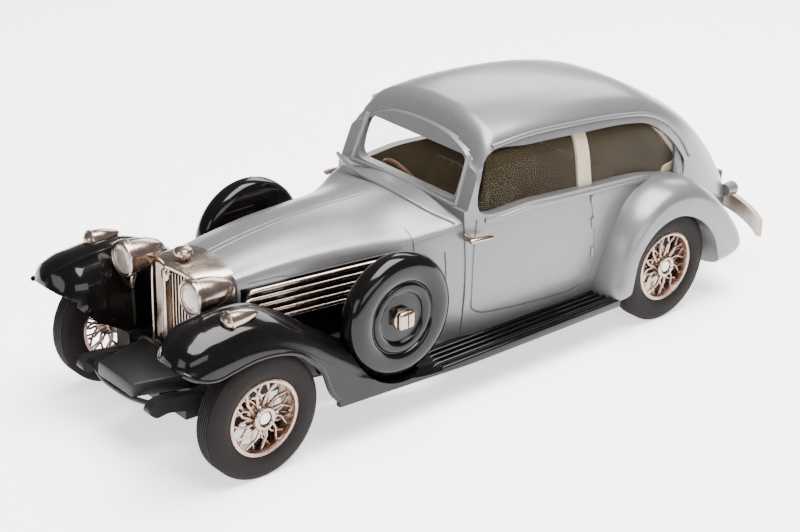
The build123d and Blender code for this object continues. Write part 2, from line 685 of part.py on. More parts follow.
# ---------------------------------------------------------------- all pieces
def all_pieces():
    pieces = {}
    form = outer_body()
    shell = body_shell(form)
    for post in screw_posts():
        shell += post
    pieces["body_shell"] = shell
    lamp = headlamp()
    wing = front_wing(form, lamp)
    apron = front_apron()
    radiator = radiator_shell(form) - lamp - other_side(lamp)
    lens = headlamp_lens()
    stay = headlamp_stay(lamp, wing, radiator)
    side_lamp = sidelamp(wing)
    spare = spare_wheel(form)
    glass_layer = skin_layer(GLASS_DEPTH, GLASS_DEPTH + GLASS)
    trim_layer = skin_layer(GLASS_DEPTH + GLASS, GLASS_DEPTH + GLASS + TRIM)
    ribs = louvres(form)
    for side, sign in SIDES:
        pieces[f"front_wing_{side}"] = sided(wing, sign)
        pieces[f"headlamp_{side}"] = sided(lamp, sign)
        pieces[f"headlamp_lens_{side}"] = sided(lens, sign)
        pieces[f"headlamp_stay_{side}"] = sided(stay, sign)
        pieces[f"sidelamp_{side}"] = sided(side_lamp, sign)
        pieces[f"bonnet_louvres_{side}"] = Compound(
            [solid for rib in ribs for solid in sided(rib, sign).solids()])
        pieces[f"spare_wheel_{side}"] = sided(spare, sign)
        pieces[f"spare_nut_{side}"] = sided(spare_nut(), sign)
        pieces[f"side_glazing_{side}"] = side_layer(glass_layer, WINDOW_OUTLINE, sign)
        opening = side_layer(trim_layer, WINDOW_OUTLINE, sign)
        pieces[f"window_pillar_{side}"] = opening & side_prism(PILLAR_OUTLINE, -20, 20)
        pieces[f"quarter_trim_{side}"] = opening & side_prism(QUARTER_OUTLINE, -20, 20)
        pieces[f"door_handle_{side}"] = sided(door_handle() - form, sign)
        pieces[f"tail_lamp_{side}"] = sided(tail_lamp(form), sign)
        pieces[f"front_seat_{side}"] = sided(bench(-8.4, -16.4, 1.4, 10.8, 12.6, 20.6, 1.6), sign)
    pieces["front_apron"] = apron - form - radiator
    pieces["base_plate"] = base_plate()
    pieces["base_screws"] = base_screws()
    pieces["radiator_shell"] = radiator
    pieces["radiator_grille"] = radiator_grille()
    pieces["radiator_cap"] = radiator_cap() - radiator - form
    pieces["windscreen"] = windscreen()
    pieces["rear_glazing"] = rear_glazing()
    pieces["rear_bumper"] = rear_bumper(form)
    pieces["rear_plate"] = rear_plate(form)
    pieces["cabin_floor"] = cabin_floor()
    pieces["rear_seat"] = bench(-20.6, -28.8, -11.0, 11.0, 13.4, 22.0, 2.2)
    pieces["dashboard"] = block(-2.4, -1.0, -11.0, 11.0, 17.5, 19.9)
    steering, centre, tilt = steering_wheel()
    column_end = centre - tilt * 0.3
    column_start = centre - tilt * 5.4
    column = rod(tuple(column_start), tuple(column_end), 0.35)
    pieces["steering_wheel"] = steering
    pieces["steering_column"] = column - pieces["dashboard"] - shell
    for end, x in ENDS:
        pieces[f"{end}_axle"] = axle(x)
        for side, sign in SIDES:
            pieces[f"tyre_{end}_{side}"] = tyre(x, sign * WHEEL_Y)
            pieces[f"wheel_{end}_{side}"] = sided(wheel(x, WHEEL_Y), sign)
            pieces[f"hub_cap_{end}_{side}"] = hub_cap(x, sign)
    return pieces


os.makedirs("parts", exist_ok=True)
for name, piece in all_pieces().items():
    export_step(piece.moved(Location((MID_WHEELBASE_X, 0, 0))), f"parts/{name}.step")
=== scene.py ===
import math

import bpy
import numpy as np
from mathutils import Matrix, Vector


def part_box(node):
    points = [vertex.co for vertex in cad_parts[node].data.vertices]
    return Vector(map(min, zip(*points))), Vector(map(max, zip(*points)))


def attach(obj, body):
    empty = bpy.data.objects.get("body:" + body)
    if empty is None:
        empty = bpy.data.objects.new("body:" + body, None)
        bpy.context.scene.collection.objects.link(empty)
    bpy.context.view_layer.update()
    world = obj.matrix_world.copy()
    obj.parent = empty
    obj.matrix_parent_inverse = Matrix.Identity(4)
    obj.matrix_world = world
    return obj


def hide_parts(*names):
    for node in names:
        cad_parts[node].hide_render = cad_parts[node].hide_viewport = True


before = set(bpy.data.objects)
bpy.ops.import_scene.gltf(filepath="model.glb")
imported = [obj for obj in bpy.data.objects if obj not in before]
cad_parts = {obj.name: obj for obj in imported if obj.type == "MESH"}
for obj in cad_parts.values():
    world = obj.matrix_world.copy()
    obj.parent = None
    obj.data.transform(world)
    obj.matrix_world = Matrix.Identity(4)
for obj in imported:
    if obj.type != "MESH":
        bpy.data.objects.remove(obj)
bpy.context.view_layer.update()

# ---------------------------------------------------------------- studio
# The model stands on a plain white sheet in a light tent: one wide soft light
# above, a long one on its left, and weak ones ahead and behind.  Lengths are
# in millimetres from the wheelbase's middle until at() makes them metres.
MM = 0.001


def middle(node):
    """The middle of a CAD node, in metres."""
    low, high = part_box(node)
    return (low + high) / 2


AXLE_FRONT = middle("front_axle")
AXLE_REAR = middle("rear_axle")
MID_X = (AXLE_FRONT.x + AXLE_REAR.x) / 2 / MM      # the wheelbase's middle, mm
HALF_WHEELBASE = round((AXLE_FRONT.x - AXLE_REAR.x) / 2 / MM, 2)
AXLE_Z = round(AXLE_FRONT.z / MM, 2)


def at(x, y, z):
    """A place in metres from millimetres counted from the wheelbase's middle."""
    return Vector(((x + MID_X) * MM, y * MM, z * MM))


AZIMUTH, ELEVATION, ROLL = math.radians(139.009), math.radians(24.741), math.radians(1.235)
EYE = at(157.51, 182.29, 122.91)
camera = bpy.data.objects.new("camera", bpy.data.cameras.new("camera"))
bpy.context.scene.collection.objects.link(camera)
camera.data.sensor_width, camera.data.lens = 36.0, 88.03
camera.data.clip_start = 0.01
camera.location = EYE
back = Vector((math.sin(AZIMUTH) * math.cos(ELEVATION), -math.cos(AZIMUTH) * math.cos(ELEVATION),
               math.sin(ELEVATION)))          # from the model towards the camera
level = back.to_track_quat("Z", "Y")
camera.rotation_mode = "QUATERNION"
camera.rotation_quaternion = level @ Matrix.Rotation(ROLL, 3, "Z").to_quaternion()
bpy.context.scene.camera = camera


CENTRE = at(-5, 0, 14)


def soft_light(name, place, width, height, power, colour=(1, 1, 1)):
    """A rectangular light that looks at the middle of the model; sizes in metres, power in watts."""
    light = bpy.data.lights.new(name, "AREA")
    light.shape = "RECTANGLE"
    light.size, light.size_y, light.energy, light.color = width, height, power, colour
    lamp = bpy.data.objects.new(name, light)
    bpy.context.scene.collection.objects.link(lamp)
    lamp.location = place
    lamp.rotation_euler = (CENTRE - place).to_track_quat("-Z", "Y").to_euler()


soft_light("tent_top", at(-40, 60, 420), 0.42, 0.30, 9.5, (1.0, 0.985, 0.96))
soft_light("tent_near", at(120, 420, 190), 0.40, 0.14, 1.1, (0.96, 0.95, 1.0))
soft_light("tent_front", at(430, 60, 160), 0.20, 0.16, 0.55)
soft_light("tent_back", at(-380, -260, 260), 0.30, 0.20, 1.5)
world = bpy.data.worlds.new("tent")
bpy.context.scene.world = world
world.use_nodes = True
sky = world.node_tree.nodes["Background"].inputs
sky["Color"].default_value = (0.93, 0.95, 1.0, 1)
sky["Strength"].default_value = 0.30


class Wire:
    """A shader socket that takes part in sums."""

    def __init__(self, tree, socket):
        self.tree, self.socket = tree, socket

    def node(self, kind, inputs, output=0, **settings):
        """Adds a node: its settings first, then its sockets' values or links."""
        made = self.tree.nodes.new(kind)
        for key, value in settings.items():
            setattr(made, key, value)
        for key, value in inputs.items():
            if isinstance(value, Wire):
                self.tree.links.new(value.socket, made.inputs[key])
            else:
                made.inputs[key].default_value = value
        return Wire(self.tree, made.outputs[output])

    def maths(self, operation, other):
        return self.node("ShaderNodeMath", {0: self, 1: other}, operation=operation)

    def __add__(self, other):
        return self.maths("ADD", other)

    __radd__ = __add__

    def __mul__(self, other):
        return self.maths("MULTIPLY", other)

    __rmul__ = __mul__

    def above(self, edge, soft):
        """0 below edge, 1 above edge + soft."""
        return self.node("ShaderNodeMapRange", {0: self, 1: edge, 2: edge + soft, 3: 0.0, 4: 1.0})

    def noise(self, scale, detail=2.0, rough=0.5):
        return self.node("ShaderNodeTexNoise", {"Vector": self, "Scale": scale, "Detail": detail,
                                                "Roughness": rough})

    def spots(self, scale):
        return self.node("ShaderNodeTexVoronoi", {"Vector": self, "Scale": scale}, feature="F1")

    def mix(self, low, high):
        """Between two colours by this mask."""
        return self.node("ShaderNodeMix", {0: self, 6: low, 7: high}, output=2, data_type="RGBA")

    def bump(self, strength, distance, under=None):
        """A normal from this height, over another bump if one is given."""
        inputs = {"Height": self, "Strength": strength, "Distance": distance}
        if under is not None:
            inputs["Normal"] = under
        return self.node("ShaderNodeBump", inputs)


def finish_of(name, slot, **fixed):
    """A new material: its object coordinates, its shader, and the shader's fixed values; the slot is not
    used.
    """
    material = bpy.data.materials.new(name)
    material.use_nodes = True
    tree = material.node_tree
    shader = tree.nodes["Principled BSDF"]
    for key, value in fixed.items():
        shader.inputs[key.replace("_", " ")].default_value = value
    start = Wire(tree, tree.nodes.new("ShaderNodeTexCoord").outputs["Object"])
    return material, start, shader


def feed(shader, **links):
    """Links wires to the shader's sockets, whose names have _ for a space."""
    for key, wire in links.items():
        wire.tree.links.new(wire.socket, shader.inputs[key.replace("_", " ")])


def rgba(r, g, b):
    return (r, g, b, 1.0)


bpy.ops.mesh.primitive_plane_add(size=6)
floor = bpy.context.object
floor.name = "white_sheet"
paper, where, shader = finish_of("white_paper", "", Roughness=0.75, Emission_Color=rgba(1, 1, 1),
                                 Emission_Strength=1.3)
fibre = where.noise(900, 3)
feed(shader, Base_Color=fibre.mix(rgba(0.93, 0.93, 0.94), rgba(0.96, 0.96, 0.965)),
     Normal=fibre.bump(0.15, 0.0002))
floor.data.materials.append(paper)


# ------------------------------------------------------------------ body casting
# One white-metal casting with scribed door and bonnet lines and cast ridges for
# gutter and beads, lacquered silver outside and painted as the seats inside.
SIDES = (("left", 1), ("right", -1))
SPARE_X = 13.2          # the spare wheels' middle, where the bonnet's foot steps up

silver, where, shader = finish_of("silver_lacquer", "silver_paint", Metallic=0.5, Coat_Weight=0.18,
                                  Coat_Roughness=0.15)
flake = where.spots(14000)
cloud = where.noise(160, 4, 0.6)
soil = where.noise(420, 6, 0.7).above(0.60, 0.12)
drawn_out = where.node("ShaderNodeMapping", {"Vector": where, "Scale": (160, 900, 500)})
scuff = drawn_out.noise(1.6, 5, 0.7).above(0.64, 0.05)
base = cloud.mix(rgba(0.105, 0.103, 0.108), rgba(0.130, 0.127, 0.131))
base = (flake * 0.55).mix(base, rgba(0.175, 0.170, 0.170))
base = (soil * 0.20).mix(base, rgba(0.07, 0.065, 0.062))
base = (scuff * 0.35).mix(base, rgba(0.22, 0.21, 0.195))
peel = where.noise(2600, 2).bump(0.10, 0.00008)
feed(shader, Base_Color=base, Roughness=cloud * 0.16 + soil * 0.12 + 0.26,
     Normal=where.noise(260, 2).bump(0.06, 0.0004, peel))

maroon, where, shader = finish_of("maroon_seat", "seat_brown", Specular_IOR_Level=0.15)
crease = where.noise(700, 4)
feed(shader, Base_Color=crease.mix(rgba(0.016, 0.006, 0.0055), rgba(0.040, 0.014, 0.011)),
     Roughness=crease * 0.2 + 0.45, Normal=crease.bump(0.2, 0.0002))


def piece_from(name, points, faces):
    """A piece from points in millimetres counted from the wheelbase's middle."""
    mesh = bpy.data.meshes.new(name)
    mesh.from_pydata([at(*point) for point in points], [], faces)
    piece = bpy.data.objects.new(name, mesh)
    bpy.context.scene.collection.objects.link(piece)
    return piece


def only(piece):
    """Selects this piece and nothing else."""
    bpy.ops.object.select_all(action="DESELECT")
    piece.select_set(True)
    bpy.context.view_layer.objects.active = piece


def clean(piece):
    """Merges doubles and turns the faces outwards."""
    only(piece)
    bpy.ops.object.mode_set(mode="EDIT")
    bpy.ops.mesh.select_all(action="SELECT")
    bpy.ops.mesh.remove_doubles(threshold=1e-6)
    bpy.ops.mesh.normals_make_consistent(inside=False)
    bpy.ops.object.mode_set(mode="OBJECT")
    return piece


def loft(name, rings):
    """Quads between rings of points that all have the same count, with a cap on each end."""
    count = len(rings[0])
    points = [point for ring in rings for point in ring]
    faces = []
    for i in range(len(rings) - 1):
        for j in range(count):
            k = (j + 1) % count
            faces.append((i * count + j, i * count + k, (i + 1) * count + k, (i + 1) * count + j))
    faces.append(tuple(range(count))[::-1])
    faces.append(tuple((len(rings) - 1) * count + j for j in range(count)))
    return clean(piece_from(name, points, faces))


def slab(name, outline, y_low, y_high):
    """A flat sheet cut to an outline of (x, z) points, thick from y_low to y_high."""
    near = [(x, y_high, z) for x, z in outline]
    far = [(x, y_low, z) for x, z in outline]
    return loft(name, [far, near])


def brick(name, low, high, bevel=0.0, segments=2):
    """A block from its low corner to its high one, with rounded edges."""
    bpy.ops.mesh.primitive_cube_add(size=1)
    piece = bpy.context.object
    piece.name = name
    size = [(h - l) * MM for l, h in zip(low, high)]
    centre = at(*[(h + l) / 2 for l, h in zip(low, high)])
    piece.data.transform(Matrix.Translation(centre) @ Matrix.Diagonal((*size, 1)))
    if bevel:
        rounding = piece.modifiers.new("rounding", "BEVEL")
        rounding.width, rounding.segments = bevel * MM, segments
        only(piece)
        bpy.ops.object.modifier_apply(modifier=rounding.name)
    return piece


def boolean(piece, tool, operation="DIFFERENCE"):
    """Cuts the tool from the piece, or joins it on, and uses the tool up."""
    cut = piece.modifiers.new("cut", "BOOLEAN")
    cut.operation, cut.object, cut.solver = operation, tool, "EXACT"
    only(piece)
    bpy.ops.object.modifier_apply(modifier=cut.name)
    bpy.data.objects.remove(tool)
    return piece


def joined(*pieces):
    """One object from several; the first one's finishes lead."""
    only(pieces[0])
    for other in pieces[1:]:
        other.select_set(True)
    bpy.ops.object.join()
    return bpy.context.object


def smooth(piece, degrees):
    only(piece)
    bpy.ops.object.shade_smooth_by_angle(angle=math.radians(degrees))
    return piece


def wear(piece, *finishes):
    """Gives the piece its finishes and no others."""
    piece.data.materials.clear()
    for finish in finishes:
        piece.data.materials.append(finish)
    return piece


def stand_in(piece, node, body="model"):
    """Hangs a finished piece on its body and lets it stand for a CAD node."""
    piece.name = "made_" + node
    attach(piece, body)
    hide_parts(node)


def eased(table, place):
    """Smooth values between the rows of a table sorted by its first column."""
    keys = np.array([row[0] for row in table], float)
    values = np.array([row[1:] for row in table], float)
    order = np.argsort(keys)
    keys, values = keys[order], values[order]
    slope = np.zeros_like(values)
    steps = np.diff(keys)[:, None]
    rises = np.diff(values, axis=0) / steps
    slope[1:-1] = (rises[:-1] * steps[1:] + rises[1:] * steps[:-1]) / (steps[1:] + steps[:-1])
    slope[0], slope[-1] = rises[0], rises[-1]
    i = int(np.clip(np.searchsorted(keys, place) - 1, 0, len(keys) - 2))
    h = keys[i + 1] - keys[i]
    t = (place - keys[i]) / h
    a, b = 2 * t ** 3 - 3 * t ** 2 + 1, t ** 3 - 2 * t ** 2 + t
    c, d = -2 * t ** 3 + 3 * t ** 2, t ** 3 - t ** 2
    return a * values[i] + b * h * slope[i] + c * values[i + 1] + d * h * slope[i + 1]


def curve_through(points, per_span, closed=False):
    """Points along a smooth curve through the given ones, spaced by the root of chord length."""
    points = np.array(points, float)
    n = len(points)
    out = []
    for i in range(n if closed else n - 1):
        p1, p2 = points[i], points[(i + 1) % n]
        p0 = points[i - 1] if (closed or i > 0) else 2 * p1 - p2
        p3 = points[(i + 2) % n] if (closed or i + 2 < n) else 2 * p2 - p1
        d1, d2, d3 = [max(np.linalg.norm(step), 1e-9) ** 0.5 for step in (p1 - p0, p2 - p1, p3 - p2)]
        m1 = (p2 - p1) + d2 * ((p1 - p0) / d1 - (p2 - p0) / (d1 + d2))
        m2 = (p2 - p1) + d2 * ((p3 - p2) / d3 - (p3 - p1) / (d2 + d3))
        for k in range(per_span):
            t = k / per_span
            out.append((2 * t ** 3 - 3 * t ** 2 + 1) * p1 + (t ** 3 - 2 * t ** 2 + t) * m1
                       + (-2 * t ** 3 + 3 * t ** 2) * p2 + (t ** 3 - t ** 2) * m2)
    if not closed:
        out.append(points[-1])
    return np.array(out)


def tube(name, path, radius, sides=8, flat=1.0, up=(0, 0, 1)):
    """A round or flattened bar along a path; radius may be a list."""
    path = np.array(path, float)
    n = len(path)
    radii = np.full(n, radius) if np.isscalar(radius) else np.array(radius, float)
    rings = []
    for i in range(n):
        along = path[min(i + 1, n - 1)] - path[max(i - 1, 0)]
        along = along / np.linalg.norm(along)
        side = np.cross(along, np.array(up, float))
        side = side / max(np.linalg.norm(side), 1e-9)
        over = np.cross(side, along)
        ring = []
        for k in range(sides):
            a = 2 * math.pi * k / sides
            ring.append(path[i] + radii[i] * (math.cos(a) * side + flat * math.sin(a) * over))
        rings.append(ring)
    return loft(name, rings)


# x, half widths at foot, side and crease, crease height, crown height
BONNET = (
    (31.0, 6.30, 6.60, 6.40, 20.8, 22.5),
    (26.0, 6.85, 7.25, 7.05, 21.2, 23.3),
    (20.0, 7.60, 8.10, 7.90, 21.4, 23.95),
    (13.3, 8.60, 9.15, 8.90, 21.1, 24.25),
    (6.0, 10.1, 10.7, 10.4, 20.8, 24.2),
    (1.0, 12.3, 12.9, 12.4, 21.9, 24.5),
    (-3.0, 13.3, 13.9, 13.2, 22.4, 24.9),
)
# x, half widths at foot, side, sill and shoulder, heights of side, sill,
# shoulder and crown
CABIN = (
    (4.0, 12.0, 12.7, 12.4, 11.0, 15.3, 22.1, 30.8, 33.4),
    (-4.0, 13.3, 14.1, 13.4, 11.7, 16.0, 22.4, 31.6, 34.5),
    (-12.0, 13.8, 14.6, 13.9, 12.1, 16.0, 22.4, 32.0, 35.2),
    (-21.0, 13.9, 14.7, 13.9, 12.1, 16.0, 22.2, 31.6, 35.1),
    (-29.0, 13.6, 14.4, 13.6, 11.8, 16.0, 21.6, 30.8, 34.2),
    (-36.0, 13.0, 13.8, 13.0, 11.2, 15.6, 21.0, 29.4, 32.4),
    (-42.0, 12.2, 12.9, 12.3, 10.4, 14.8, 19.8, 27.0, 29.4),
    (-48.0, 11.0, 11.7, 11.2, 9.2, 13.6, 17.8, 23.4, 25.8),
    (-53.0, 9.6, 10.2, 9.8, 7.8, 12.2, 15.4, 19.4, 21.6),
    (-57.0, 8.0, 8.6, 8.2, 6.3, 10.6, 12.9, 15.6, 17.4),
    (-59.8, 6.4, 6.9, 6.5, 4.9, 9.0, 10.4, 12.0, 13.2),
    (-61.4, 4.6, 5.0, 4.8, 3.6, 7.4, 8.1, 8.9, 9.6),
)
CABIN_FOOT = 5.7
BONNET_FOOT = 9.4
WALL = 1.3              # the casting's thickness
ROOF_EDGE = 2.4         # radius of the roof's front edge


def whole_ring(x, half):
    """A whole section from half of one: (y, z) from the foot to the crown."""
    mirror = [(-y, z) for y, z in half[:-1]][::-1]
    shape = curve_through(list(half) + mirror, 7)
    return [(x, y, z) for y, z in shape]


def cabin_half(x, inset=0.0, foot=CABIN_FOOT):
    """Half a section of the cabin, drawn in by inset all round but the foot."""
    y_foot, y_side, y_sill, y_shoulder, z_side, z_sill, z_shoulder, z_crown = eased(CABIN, x)
    return ((y_foot - inset, foot), (y_side - inset, foot + (z_side - foot) * 0.75),
            (y_sill - inset, z_sill - inset * 0.3), (y_shoulder - inset * 0.9, z_shoulder - inset * 0.7),
            (y_shoulder * 0.62, z_shoulder + (z_crown - z_shoulder) * 0.76 - inset), (0, z_crown - inset))


def bonnet_half(x, inset=0.0, drop=0.0):
    """Half a section of the bonnet, whose foot rises ahead of the scuttle."""
    y_foot, y_side, y_crease, z_crease, z_crown = eased(BONNET, x)
    foot = (BONNET_FOOT if x > SPARE_X else CABIN_FOOT + max(0, x - 6.0) * 0.51) - drop
    rise = z_crown - z_crease
    return ((y_foot - inset, foot), (y_side - inset, (foot + z_crease) / 2 + 1.0),
            (y_crease + 0.10 - inset, z_crease - 0.9 - inset),
            (y_crease - 0.30 - inset, z_crease + 0.25 - inset),
            (y_crease * 0.72, z_crease + rise * 0.50 - inset),
            (y_crease * 0.38, z_crease + rise * 0.86 - inset), (0, z_crown - inset))


SCREEN_FOOT, SCREEN_HEAD = (-1.2, 24.5), (-3.4, 30.2)      # x and z of the opening's edges
SCREEN_SLOPE = (SCREEN_HEAD[0] - SCREEN_FOOT[0]) / (SCREEN_HEAD[1] - SCREEN_FOOT[1])
SCREEN_HALF = 9.9


def screen_x(z):
    """Where the windscreen's plane is at height z."""
    return SCREEN_FOOT[0] + SCREEN_SLOPE * (z - SCREEN_FOOT[1])


def rounded_down(x, y, z):
    """The roof's front edge rolls over into the header above the windscreen."""
    short = ROOF_EDGE - min(max(screen_x(z) - x, 0.0), ROOF_EDGE)
    drop = ROOF_EDGE - math.sqrt(ROOF_EDGE ** 2 - short ** 2)
    share = min(max((z - 28.5) / 3.0, 0.0), 1.0)
    return (x, y * (1 - 0.03 * drop * share), z - drop * share)


def cabin_form(name, inset=0.0, foot=CABIN_FOOT):
    """The cabin and tail as a solid, with close sections near the windscreen."""
    places = list(np.arange(4.0, -9.0, -0.4)) + list(np.arange(-9.0, -61.41, -1.0))
    rings = [whole_ring(x, cabin_half(x, inset, foot)) for x in places]
    return loft(name, [[rounded_down(*point) for point in ring] for ring in rings])


def bonnet_form(name, inset=0.0, drop=0.0, start=-3.0, end=31.0):
    """The bonnet and scuttle as a solid."""
    places = np.arange(start, end + 0.01, 0.85)
    return loft(name, [whole_ring(x, bonnet_half(x, inset, drop)) for x in places])


def domed(name, outline, levels):
    """A bulging slab: the outline at each y, drawn in by that level's inset."""
    rings = []
    outline = np.array(outline, float)
    middle_point = outline.mean(axis=0)
    for y, inset in levels:
        moved = []
        for i in range(len(outline)):
            along = outline[(i + 1) % len(outline)] - outline[i - 1]
            along = along / np.linalg.norm(along)
            inward = np.array((-along[1], along[0]))
            if np.dot(inward, middle_point - outline[i]) < 0:
                inward = -inward
            moved.append(outline[i] + inward * inset)
        ring = curve_through(moved, 6, closed=True)
        rings.append([(x, y, z) for x, z in ring])
    return loft(name, rings)


# outlines seen from the side, x and z
WINDOW = (
    (-2.9, 23.5), (-4.9, 30.6), (-12.0, 30.7), (-22.0, 30.0), (-30.0, 29.2), (-35.5, 27.9),
    (-39.6, 25.4), (-43.0, 22.0), (-44.1, 20.2), (-43.2, 19.2), (-40.0, 19.6), (-32.8, 21.2),
    (-22.6, 22.2), (-12.0, 23.0),
)
REAR_WING = (
    (-24.4, 5.2), (-25.0, 10.0), (-26.6, 14.6), (-29.6, 18.2), (-34.6, 20.3), (-40.2, 19.8),
    (-45.2, 17.0), (-49.4, 12.8), (-51.9, 8.6), (-51.2, 6.2), (-48.6, 5.0), (-44.0, 4.8),
    (-36.0, 4.8), (-29.0, 4.8),
)
REAR_OPENING = (
    (-26.6, 3.0), (-27.6, 7.4), (-28.7, 11.8), (-31.9, 15.0), (-36.4, 15.9), (-41.3, 13.8),
    (-44.2, 10.5), (-45.4, 7.2), (-46.4, 5.2), (-47.6, 3.0),
)
# how far out, and how far the rear wing's outline is drawn in there
WING_LEVELS = (
    (10.5, 0.0), (13.0, 0.0), (14.6, 0.08), (15.6, 0.25), (16.6, 0.55), (17.3, 0.85),
    (17.8, 1.15), (18.2, 1.5), (18.45, 1.85), (18.6, 2.3),
)

cabin_part = cabin_form("cabin_part")
cutter = slab("ahead", [(screen_x(24.0), 24.0), (screen_x(38.0), 38.0), (9, 38), (9, 24.0)], -20, 20)
boolean(cabin_part, cutter)
boolean(cabin_part, brick("ahead_low", (-0.5, -20, 0), (9, 20, 40)))
body = bonnet_form("body_casting")
wear(body, silver, maroon)
boolean(body, cabin_part, "UNION")
for side, sign in SIDES:
    block = domed("rear_wing", REAR_WING, [(sign * y, inset) for y, inset in WING_LEVELS])
    boolean(body, block, "UNION")
boolean(body, bonnet_form("bonnet_room", WALL, 4.0, 1.0, 29.0))
inner = cabin_form("cabin_room", WALL, 2.0)
lower, upper = screen_x(20) - WALL, screen_x(38) - WALL
cutter = slab("ahead", [(lower, -5), (lower, 20), (upper, 38), (9, 38), (9, -5)], -20, 20)
boolean(inner, cutter)
wear(inner, silver, maroon)
for face in inner.data.polygons:
    face.material_index = 1             # the cabin's inside is painted with the seats
boolean(body, inner)
boolean(body, brick("scuttle_way", (lower - 0.1, -11.2, 0), (1.1, 11.2, 20.0)))
boolean(body, brick("floor_way", (-0.4, -12.4, 0), (SPARE_X, 12.4, 5.65)))
window_curve = curve_through(WINDOW, 6, closed=True)
boolean(body, slab("window_cut", window_curve, -20, 20))
(foot_x, foot_z), (head_x, head_z) = SCREEN_FOOT, SCREEN_HEAD
screen_cut = slab("screen_cut", [(foot_x + 3, foot_z), (head_x + 3, head_z), (head_x - 6, head_z),
                                 (foot_x - 6, foot_z)], -SCREEN_HALF, SCREEN_HALF)
rounding = screen_cut.modifiers.new("rounding", "BEVEL")
rounding.width, rounding.segments = 1.2 * MM, 4
rounding.limit_method, rounding.angle_limit = "ANGLE", math.radians(60)
only(screen_cut)
bpy.ops.object.modifier_apply(modifier=rounding.name)
boolean(body, screen_cut)
for side, sign in SIDES:
    low, high = sorted((sign * 0.7, sign * 4.6))
    boolean(body, brick("rear_pane_cut", (-58, low, 24.2), (-40, high, 27.2), 0.8, 4))
    low, high = sorted((sign * 14.0, sign * 18.0))
    arch = [(-HALF_WHEELBASE + 8.75 * math.cos(a), 8.3 + 8.75 * math.sin(a))
            for a in np.linspace(0, math.pi, 60)]
    boolean(body, slab("wheel_room", arch + [(-43.97, -2.0), (-26.43, -2.0)], low, high))
    boolean(body, slab("arch_cut", curve_through(REAR_OPENING, 6), *sorted((sign * 14.0, sign * 20.0))))
boolean(body, brick("axle_way", (-36.4, -17, 0), (-34.0, 17, 9.4)))


def skin_y(x, z):
    """How far out the cabin's side is at a place seen from the side."""
    shape = curve_through(cabin_half(x), 24)
    shoulder = np.argmax(shape[:, 1] >= z) if (shape[:, 1] >= z).any() else len(shape) - 1
    y0, z0 = shape[max(shoulder - 1, 0)]
    y1, z1 = shape[shoulder]
    return y0 + (y1 - y0) * ((z - z0) / max(z1 - z0, 1e-6))


def scribe(name, places, sign, width, depth, skin=skin_y):
    """A groove cutter that follows the side: places are (x, z)."""
    path = [(x, sign * (skin(x, z) + 0.16), z) for x, z in places]
    return tube(name, path, width, up=(0, 1, 0), flat=(depth + 0.16) / width)


def bonnet_y(x, z):
    """How far out the bonnet's side is at a place seen from the side."""
    shape = curve_through(bonnet_half(x), 24)
    return shape[np.argmax(shape[:, 1] >= z)][0]


DOOR_LINE = (
    (-2.4, 22.6), (-1.9, 20), (-1.5, 16), (-1.5, 12.2), (-1.7, 10.3), (-3.0, 9.3), (-8, 8.6),
    (-14, 8.1), (-20, 7.9), (-22.2, 8.6), (-23.0, 11), (-23.2, 15), (-22.9, 19), (-22.6, 22.0),
)
SCUTTLE_LINE = ((1.8, 10.0), (2.0, 14), (2.2, 19.0))
BONNET_BACK = 6.0       # where the bonnet meets the scuttle
PANEL_LINE_Z = 19.95
for side, sign in SIDES:
    boolean(body, scribe("door_line", curve_through(DOOR_LINE, 6), sign, 0.17, 0.22))
    boolean(body, scribe("scuttle_line", curve_through(SCUTTLE_LINE, 8), sign, 0.13, 0.15, bonnet_y))
    joint = curve_through(bonnet_half(BONNET_BACK), 12)[:44]
    joint = [(BONNET_BACK, sign * y, z) for y, z in joint if y > 0.2 and z > 11]
    boolean(body, tube("bonnet_joint", joint, 0.14, up=(1, 0, 0)))
    panel = [(x, sign * (bonnet_y(x, PANEL_LINE_Z) + 0.05), PANEL_LINE_Z + (0.3 if x > 25 else 0))
             for x in np.linspace(8, 29.5, 16)]
    boolean(body, tube("panel_line", panel, 0.13, up=(0, 1, 0)))
for y in (-0.42, 0.42):
    ridge = [(x, y, eased(BONNET, x)[4] + 0.02) for x in np.linspace(6.2, 30.9, 18)]
    boolean(body, tube("hinge_groove", ridge, 0.11))

GUTTER = (
    (-5.8, 31.5), (-12, 31.9), (-21, 31.4), (-29, 30.5), (-36, 29.0), (-40.5, 26.6), (-43.8, 23.4),
    (-45.6, 20.6),
)
HINGE_X, HINGE_HEIGHTS = -22.9, (20.4, 17.2, 12.9)
SCUTTLE_HALF = 12.1
beads = []
for side, sign in SIDES:
    under = sorted((x, z - 0.75) for x, z in window_curve if z < 24.0 and -43.8 < x < -3.0)
    trim = [(x, sign * (skin_y(x, z) + 0.02), z) for x, z in under]
    beads.append(tube("sill_bead", trim, 0.36, up=(0, 1, 0), flat=0.7))
    gutter = [(x, sign * (skin_y(x, z) + 0.02), z) for x, z in curve_through(GUTTER, 6)]
    beads.append(tube("gutter", gutter, 0.34, up=(0, 1, 0), flat=0.9))
    pillar = [(screen_x(z) - 0.1, sign * (10.5 + (24.4 - z) * 0.06), z) for z in np.linspace(24.0, 30.3, 8)]
    beads.append(tube("screen_pillar", pillar, 0.34, up=(0, 1, 0)))
    for z in HINGE_HEIGHTS:
        y = sign * (skin_y(HINGE_X, z) + 0.05)
        beads.append(tube("hinge", [(HINGE_X, y, z - 0.7), (HINGE_X, y, z + 0.7)], 0.24, 10, up=(0, 1, 0)))
lip_z = 24.0
lip = [(screen_x(lip_z) + 0.25, y, lip_z + 0.35 * math.cos(y / 10.4 * 1.5))
       for y in np.linspace(-10.6, 10.6, 22)]
beads.append(tube("screen_lip", lip, 0.33))
scuttle = []
